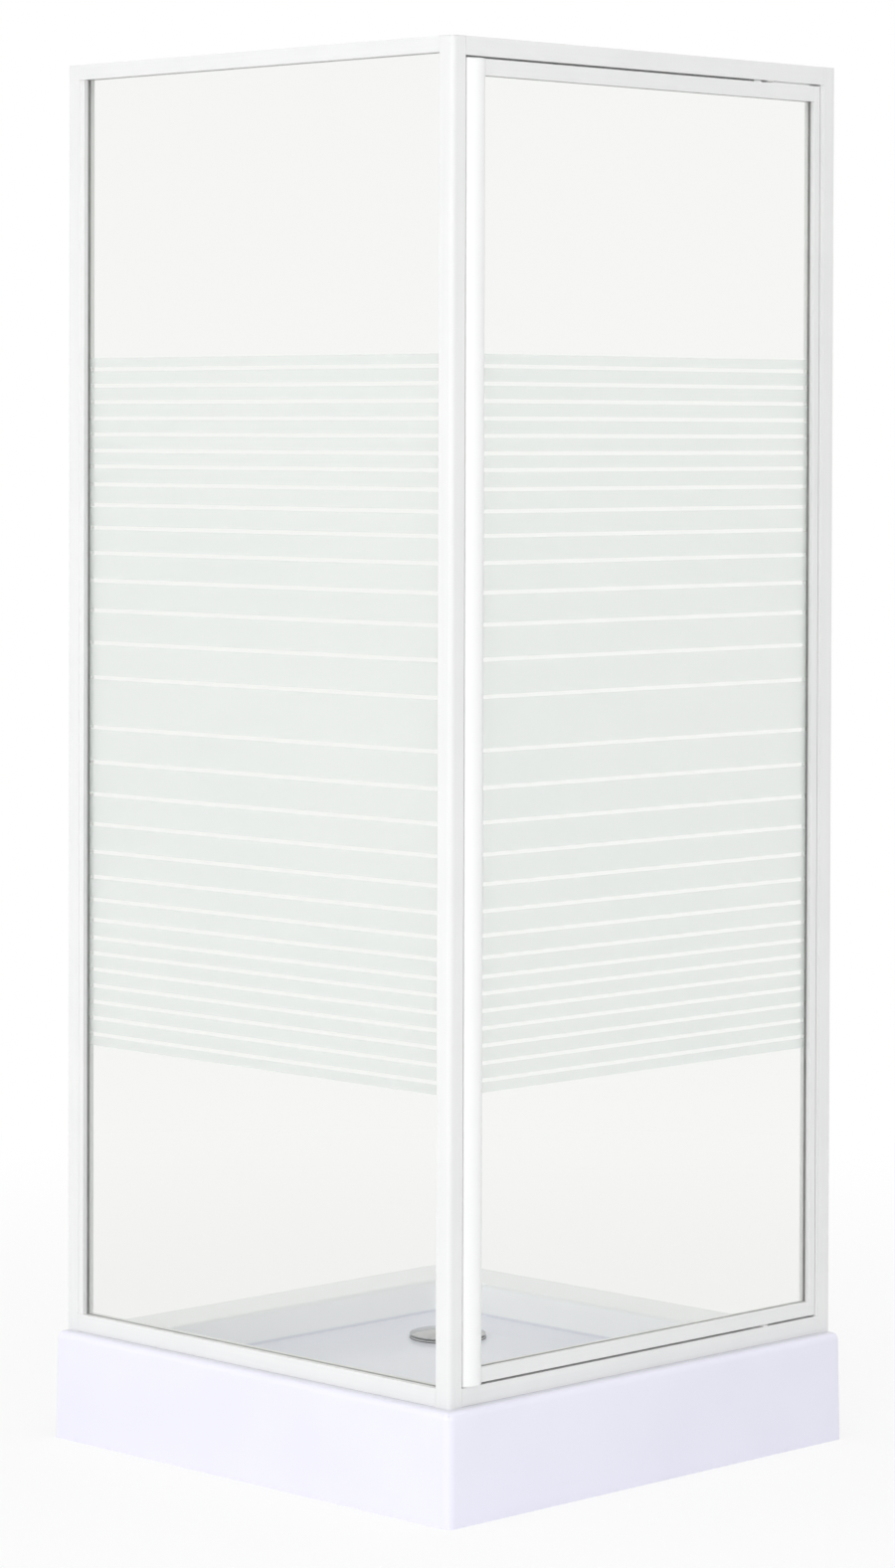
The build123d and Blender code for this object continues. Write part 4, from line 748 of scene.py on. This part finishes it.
# Panes. Tempered glass with a faint warm grey tint. A matt print covers the middle of the inner face, cut by
# clear lines that stand closer together away from its middle.
GLASS_TINT = (0.915, 0.922, 0.90)
GLASS_LIGHT_PASSED = (0.985, 0.99, 0.98)
GLASS_IOR = 1.5
glass_material, tone = new_material("clear_glass")
ray = tone.node("ShaderNodeLightPath", output="Is Shadow Ray")
clear = tone.node("ShaderNodeBsdfPrincipled", sockets={
    "Base Color": (*GLASS_TINT, 1), "Roughness": 0.0, "IOR": GLASS_IOR, "Transmission Weight": 1.0})
open_to_lamps = tone.node("ShaderNodeBsdfTransparent", sockets={"Color": (*GLASS_LIGHT_PASSED, 1)})
surface(tone, tone.node("ShaderNodeMixShader", sockets={0: ray, 1: clear, 2: open_to_lamps}))
finish_nodes(glass_material, ["fixed_glass", "leaf_glass"])

PRINT_COOL = (0.965, 0.985, 0.99)
PRINT_WHITE = (0.975, 0.99, 0.99)
PRINT_LIGHT_PASSED = (0.95, 0.97, 0.96)
PRINT_ROUGHNESS = 0.6
PRINT_IOR = 1.3
PRINT_THROUGH = 0.8
PRINT_CLEAR = 0.2
PRINT_OPEN_TO_LAMPS = 0.8
print_material, tone = new_material("frosted_print")
point = object_point(tone)
cloud = noise(point, 3, 2)
ray = tone.node("ShaderNodeLightPath", output="Is Shadow Ray")
colour = cloud.spans(0.3, 0.7).blend(PRINT_COOL, PRINT_WHITE)
frost = tone.node("ShaderNodeBsdfPrincipled", sockets={
    "Base Color": colour, "Roughness": PRINT_ROUGHNESS, "IOR": PRINT_IOR,
    "Transmission Weight": PRINT_THROUGH})
half_open = tone.node("ShaderNodeBsdfTransparent", sockets={"Color": (*PRINT_LIGHT_PASSED, 1)})
open_share = ray * (PRINT_OPEN_TO_LAMPS - PRINT_CLEAR) + PRINT_CLEAR
surface(tone, tone.node("ShaderNodeMixShader", sockets={0: open_share, 1: frost, 2: half_open}))

PRINT_LOW = 570 * MM
PRINT_HIGH = 1562 * MM
PRINT_MIDDLE = (PRINT_LOW + PRINT_HIGH) / 2
LINE = 5.5 * MM
FIRST_LINE = 36 * MM
WIDEST_PITCH = 50.1 * MM
PITCH_STEP = 3.45 * MM
CLOSEST_PITCH = 23.4 * MM
FALLING_PITCHES = 9
EVEN_PITCHES = 5
FILM = 0.1 * MM
FILM_GAP = 0.05 * MM


def clear_line_heights():
    """Heights of the clear lines: the pitch falls by even steps and then stays, mirrored about the
    middle."""
    falling = WIDEST_PITCH - PITCH_STEP * np.arange(FALLING_PITCHES)
    pitches = np.concatenate([[FIRST_LINE], falling, np.full(EVEN_PITCHES, CLOSEST_PITCH)])
    away = np.cumsum(pitches)
    return np.concatenate([PRINT_MIDDLE - away[::-1], PRINT_MIDDLE + away])


def boxes_mesh(name, low, high):
    """Closed boxes from arrays of low and high corners: eight corners each, six faces pointing outwards."""
    unit = np.array([(0, 0, 0), (1, 0, 0), (1, 1, 0), (0, 1, 0), (0, 0, 1), (1, 0, 1), (1, 1, 1), (0, 1, 1)])
    sides = np.array([(0, 3, 2, 1), (4, 5, 6, 7), (0, 1, 5, 4), (1, 2, 6, 5), (2, 3, 7, 6), (3, 0, 4, 7)])
    points = low[:, None] + unit[None] * (high - low)[:, None]
    faces = sides[None] + 8 * np.arange(len(low))[:, None, None]
    mesh = bpy.data.meshes.new(name)
    mesh.from_pydata(points.reshape(-1, 3).tolist(), [], faces.reshape(-1, 4).tolist())
    return mesh


def add_piece(name, mesh, material, body):
    """New piece from a mesh whose points are in place, riding on its body."""
    mesh.materials.append(material)
    piece = bpy.data.objects.new(name, mesh)
    bpy.context.scene.collection.objects.link(piece)
    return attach(piece, body)


def print_bands(name, pane, thin_axis, body):
    """Bands of print on the inner face of a pane, from one clear line to the next."""
    low, high = (np.array(corner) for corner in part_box(pane))
    lines = clear_line_heights()
    starts = np.concatenate([[PRINT_LOW], lines + LINE / 2])
    ends = np.concatenate([lines - LINE / 2, [PRINT_HIGH]])
    bottoms = np.tile(low, (len(starts), 1))
    tops = np.tile(high, (len(starts), 1))
    bottoms[:, thin_axis] = high[thin_axis] + FILM_GAP
    tops[:, thin_axis] = high[thin_axis] + FILM_GAP + FILM
    bottoms[:, 2] = starts
    tops[:, 2] = ends
    add_piece(name, boxes_mesh(name, bottoms, tops), print_material, body)


print_bands("fixed_pane_print", "fixed_glass", 0, "enclosure")
print_bands("leaf_pane_print", "leaf_glass", 1, "door")

# Gaskets and seals. Soft grey PVC round the panes, translucent strips where the leaf shuts.
GASKET_COLOURS = ((0.44, 0.445, 0.44), (0.51, 0.51, 0.505))
gasket_material = mottled("grey_gasket", {"scale": 25}, GASKET_COLOURS, 0.6,
                          bump=(0.1, 0.2, {"scale": 700, "detail": 1}))
GASKET_HALF = 4
GASKET_SLOT = 2.02
GASKET_FLOOR = 1.5
GASKET_LIP = 1
LIP_SHOWS = 0.2


def gasket_loop(groove):
    """U section that grips the pane, its floor in the groove and two rounded lips just outside."""
    top = groove + LIP_SHOWS
    corners = [(-GASKET_HALF, 0), (GASKET_HALF, 0), (GASKET_HALF, top), (GASKET_SLOT, top),
               (GASKET_SLOT, GASKET_FLOOR), (-GASKET_SLOT, GASKET_FLOOR), (-GASKET_SLOT, top),
               (-GASKET_HALF, top)]
    return softened(corners, [0.4, 0.4, 0.9, 0.6, 0.2, 0.2, 0.6, 0.9])


def gasket(node, start, across, run, length, groove=GROOVE_DEPTH):
    """Gasket along one side of a pane."""
    strip = carried([gasket_loop(groove)], start, across, run, length)
    stand_for(node, joined(node + "_finished", [strip]), gasket_material)


fixed_start = INSIDE + GASKET_LIP
fixed_mouth = stile_back - STILE_WIDTH
fixed_length = fixed_mouth - INSIDE - 2 * GASKET_LIP
fixed_height = FIXED_HEAD_UNDER - SILL_TOP
gasket("fixed_gasket_top", (MIDDLE, fixed_start, FIXED_HEAD_UNDER + GROOVE_DEPTH), (1, 0, 0), ALONG_Y,
       fixed_length)
gasket("fixed_gasket_bottom", (MIDDLE, fixed_start, SILL_TOP - GROOVE_DEPTH), (-1, 0, 0), ALONG_Y,
       fixed_length)
gasket("fixed_gasket_wall", (MIDDLE, fixed_mouth + GROOVE_DEPTH, SILL_TOP), (-1, 0, 0), UP, fixed_height)
gasket("fixed_gasket_post", (MIDDLE, INSIDE - GROOVE_DEPTH, SILL_TOP), (1, 0, 0), UP, fixed_height)
leaf_start = HANDLE_MOUTH + GASKET_LIP
leaf_length = HINGE_MOUTH - HANDLE_MOUTH - 2 * GASKET_LIP
leaf_low = LEAF_BOTTOM + LEAF_BOTTOM_RAIL
leaf_high = LEAF_TOP - LEAF_TOP_RAIL
gasket("leaf_gasket_top", (leaf_start, LEAF_MIDDLE, leaf_high + GROOVE_DEPTH), (0, -1, 0), ALONG_X,
       leaf_length)
gasket("leaf_gasket_bottom", (leaf_start, LEAF_MIDDLE, leaf_low - GROOVE_DEPTH), (0, 1, 0), ALONG_X,
       leaf_length)
gasket("leaf_gasket_handle", (HANDLE_MOUTH - GROOVE_DEPTH, LEAF_MIDDLE, leaf_low), (0, -1, 0), UP,
       leaf_high - leaf_low)
gasket("leaf_gasket_hinge", (HINGE_MOUTH + HINGE_GROOVE, LEAF_MIDDLE, leaf_low), (0, 1, 0), UP,
       leaf_high - leaf_low, HINGE_GROOVE)
SEAL_COLOURS = ((0.66, 0.67, 0.66), (0.74, 0.75, 0.74))
seal_material = mottled("clear_seal", {"scale": 25}, SEAL_COLOURS, 0.35, transmission=0.4)
for node in ("stop_strip_top", "stop_strip_bottom", "hinge_side_seal", "leaf_bottom_seal"):
    eased(node, seal_material, edge=0.2)

# Magnet strips. Ferrite bound in PVC, extruded in a pale grey sheath that is dull and a little uneven.
MAGNET_COLOURS = ((0.50, 0.505, 0.50), (0.58, 0.58, 0.57))
magnet_material = mottled("magnet_sheath", {"scale": 30}, MAGNET_COLOURS, (0.45, 0.55))
for node in ("post_magnet_strip", "leaf_magnet_strip"):
    eased(node, magnet_material, edge=0.3)

# Keys, pivot blocks, bushes and pins. Moulded nylon, ivory beside the lacquer, with eased edges; the pins
# are ground stainless steel with broken ends.
NYLON_COLOURS = ((0.84, 0.84, 0.82), (0.88, 0.88, 0.865))
nylon_material = mottled("white_nylon", {"scale": 60}, NYLON_COLOURS, 0.45)
for node in ("frame_corner_keys", "head_pivot_block", "sill_pivot_block", "leaf_corner_keys",
             "leaf_top_pivot_block", "leaf_bottom_pivot_block"):
    eased(node, nylon_material, edge=0.4)
for node in ("head_bush", "sill_bush", "pivot_thrust_washer"):
    eased(node, nylon_material, edge=0.2)
for node in ("top_pivot_pin", "bottom_pivot_pin"):
    eased(node, stainless_material, edge=0.3)

# Screws. Stainless, driven from inside the shower: rounded heads with a pressed cross recess.
SCREW_RADIUS = 1.7
TIP_RADIUS = 0.6
TIP_LENGTH = 1
HEAD_RADIUS = 3.6
HEAD = 2
FLAT_HEAD_RADIUS = 2.8
FLAT_HEAD = 1.2
HEAD_SOLE = 0.96
HEAD_RIM = 0.15
HEAD_FALL = 0.55
CROSS_REACH = 0.5
CROSS_HALF = 0.13
CROSS_TAPER = 1.3
CROSS_DEPTH = 0.45
SCREW_COLUMNS = 48


def screw(place, axis, shank, head_radius, head):
    """Screw whose head starts at a place: a tapered tip, a shank, and a domed head that falls by the square
    of the radius, with a cross pressed in where one of two coordinates is small and the other short."""
    body = [(TIP_RADIUS, -shank), (SCREW_RADIUS, TIP_LENGTH - shank), (SCREW_RADIUS, 0),
            (HEAD_SOLE * head_radius, 0), (head_radius, HEAD_RIM * head)]
    body_radius, body_level = (column[:, None] for column in np.array(body, float).T)
    share = np.concatenate([[1], np.linspace(0.97, 0.04, 16)])[:, None]
    dome = head * (1 - HEAD_FALL * share ** 2)
    angle = 2 * np.pi * np.arange(SCREW_COLUMNS)[None] / SCREW_COLUMNS
    u, v = np.abs(share * np.cos(angle)), np.abs(share * np.sin(angle))
    pressed = np.minimum(u, v) < CROSS_HALF * (CROSS_TAPER - np.maximum(u, v))
    pressed = pressed & (np.maximum(u, v) < CROSS_REACH)
    level = dome - CROSS_DEPTH * head * pressed
    ones = np.ones((1, SCREW_COLUMNS))
    radius = np.concatenate([body_radius * ones, share * head_radius * ones])
    return about_axis(radius, np.concatenate([body_level * ones, level]), place, axis)


FRAME_SHANK = 13.5
STILE_SHANK = 3
LEAF_SHANK = 9
FIXED_KEY_Y = (-340, 367)
FIXED_KEY_Z = (161.5, 1978)
DOOR_KEY_X = (-340, 366)
DOOR_KEY_Z = (169, 1966)
STILE_SCREW_Y = 385
JAMB_SCREW_X = 384
STILE_SCREW_HEIGHTS = (404, 1069, 1734)
LEAF_SCREW_IN = 12
LEAF_KEY_Z = (188.5, 1948.5)
key_screws = [screw((INSIDE, y, z), "X", FRAME_SHANK, HEAD_RADIUS, HEAD)
              for y in FIXED_KEY_Y for z in FIXED_KEY_Z]
key_screws += [screw((x, INSIDE, z), "Y", FRAME_SHANK, HEAD_RADIUS, HEAD)
               for x in DOOR_KEY_X for z in DOOR_KEY_Z]
stile_screws = [screw((INSIDE, STILE_SCREW_Y, z), "X", STILE_SHANK, HEAD_RADIUS, HEAD)
                for z in STILE_SCREW_HEIGHTS]
stile_screws += [screw((JAMB_SCREW_X, INSIDE, z), "Y", STILE_SHANK, HEAD_RADIUS, HEAD)
                 for z in STILE_SCREW_HEIGHTS]
leaf_screws = [screw((x, LEAF_INSIDE, z), "Y", LEAF_SHANK, FLAT_HEAD_RADIUS, FLAT_HEAD)
               for x in (HANDLE_MOUTH + LEAF_SCREW_IN, HINGE_MOUTH - LEAF_SCREW_IN) for z in LEAF_KEY_Z]
for node, screws in (("frame_key_screws", key_screws), ("stile_fixing_screws", stile_screws),
                     ("leaf_key_screws", leaf_screws)):
    stand_for(node, joined(node + "_finished", screws), stainless_material)
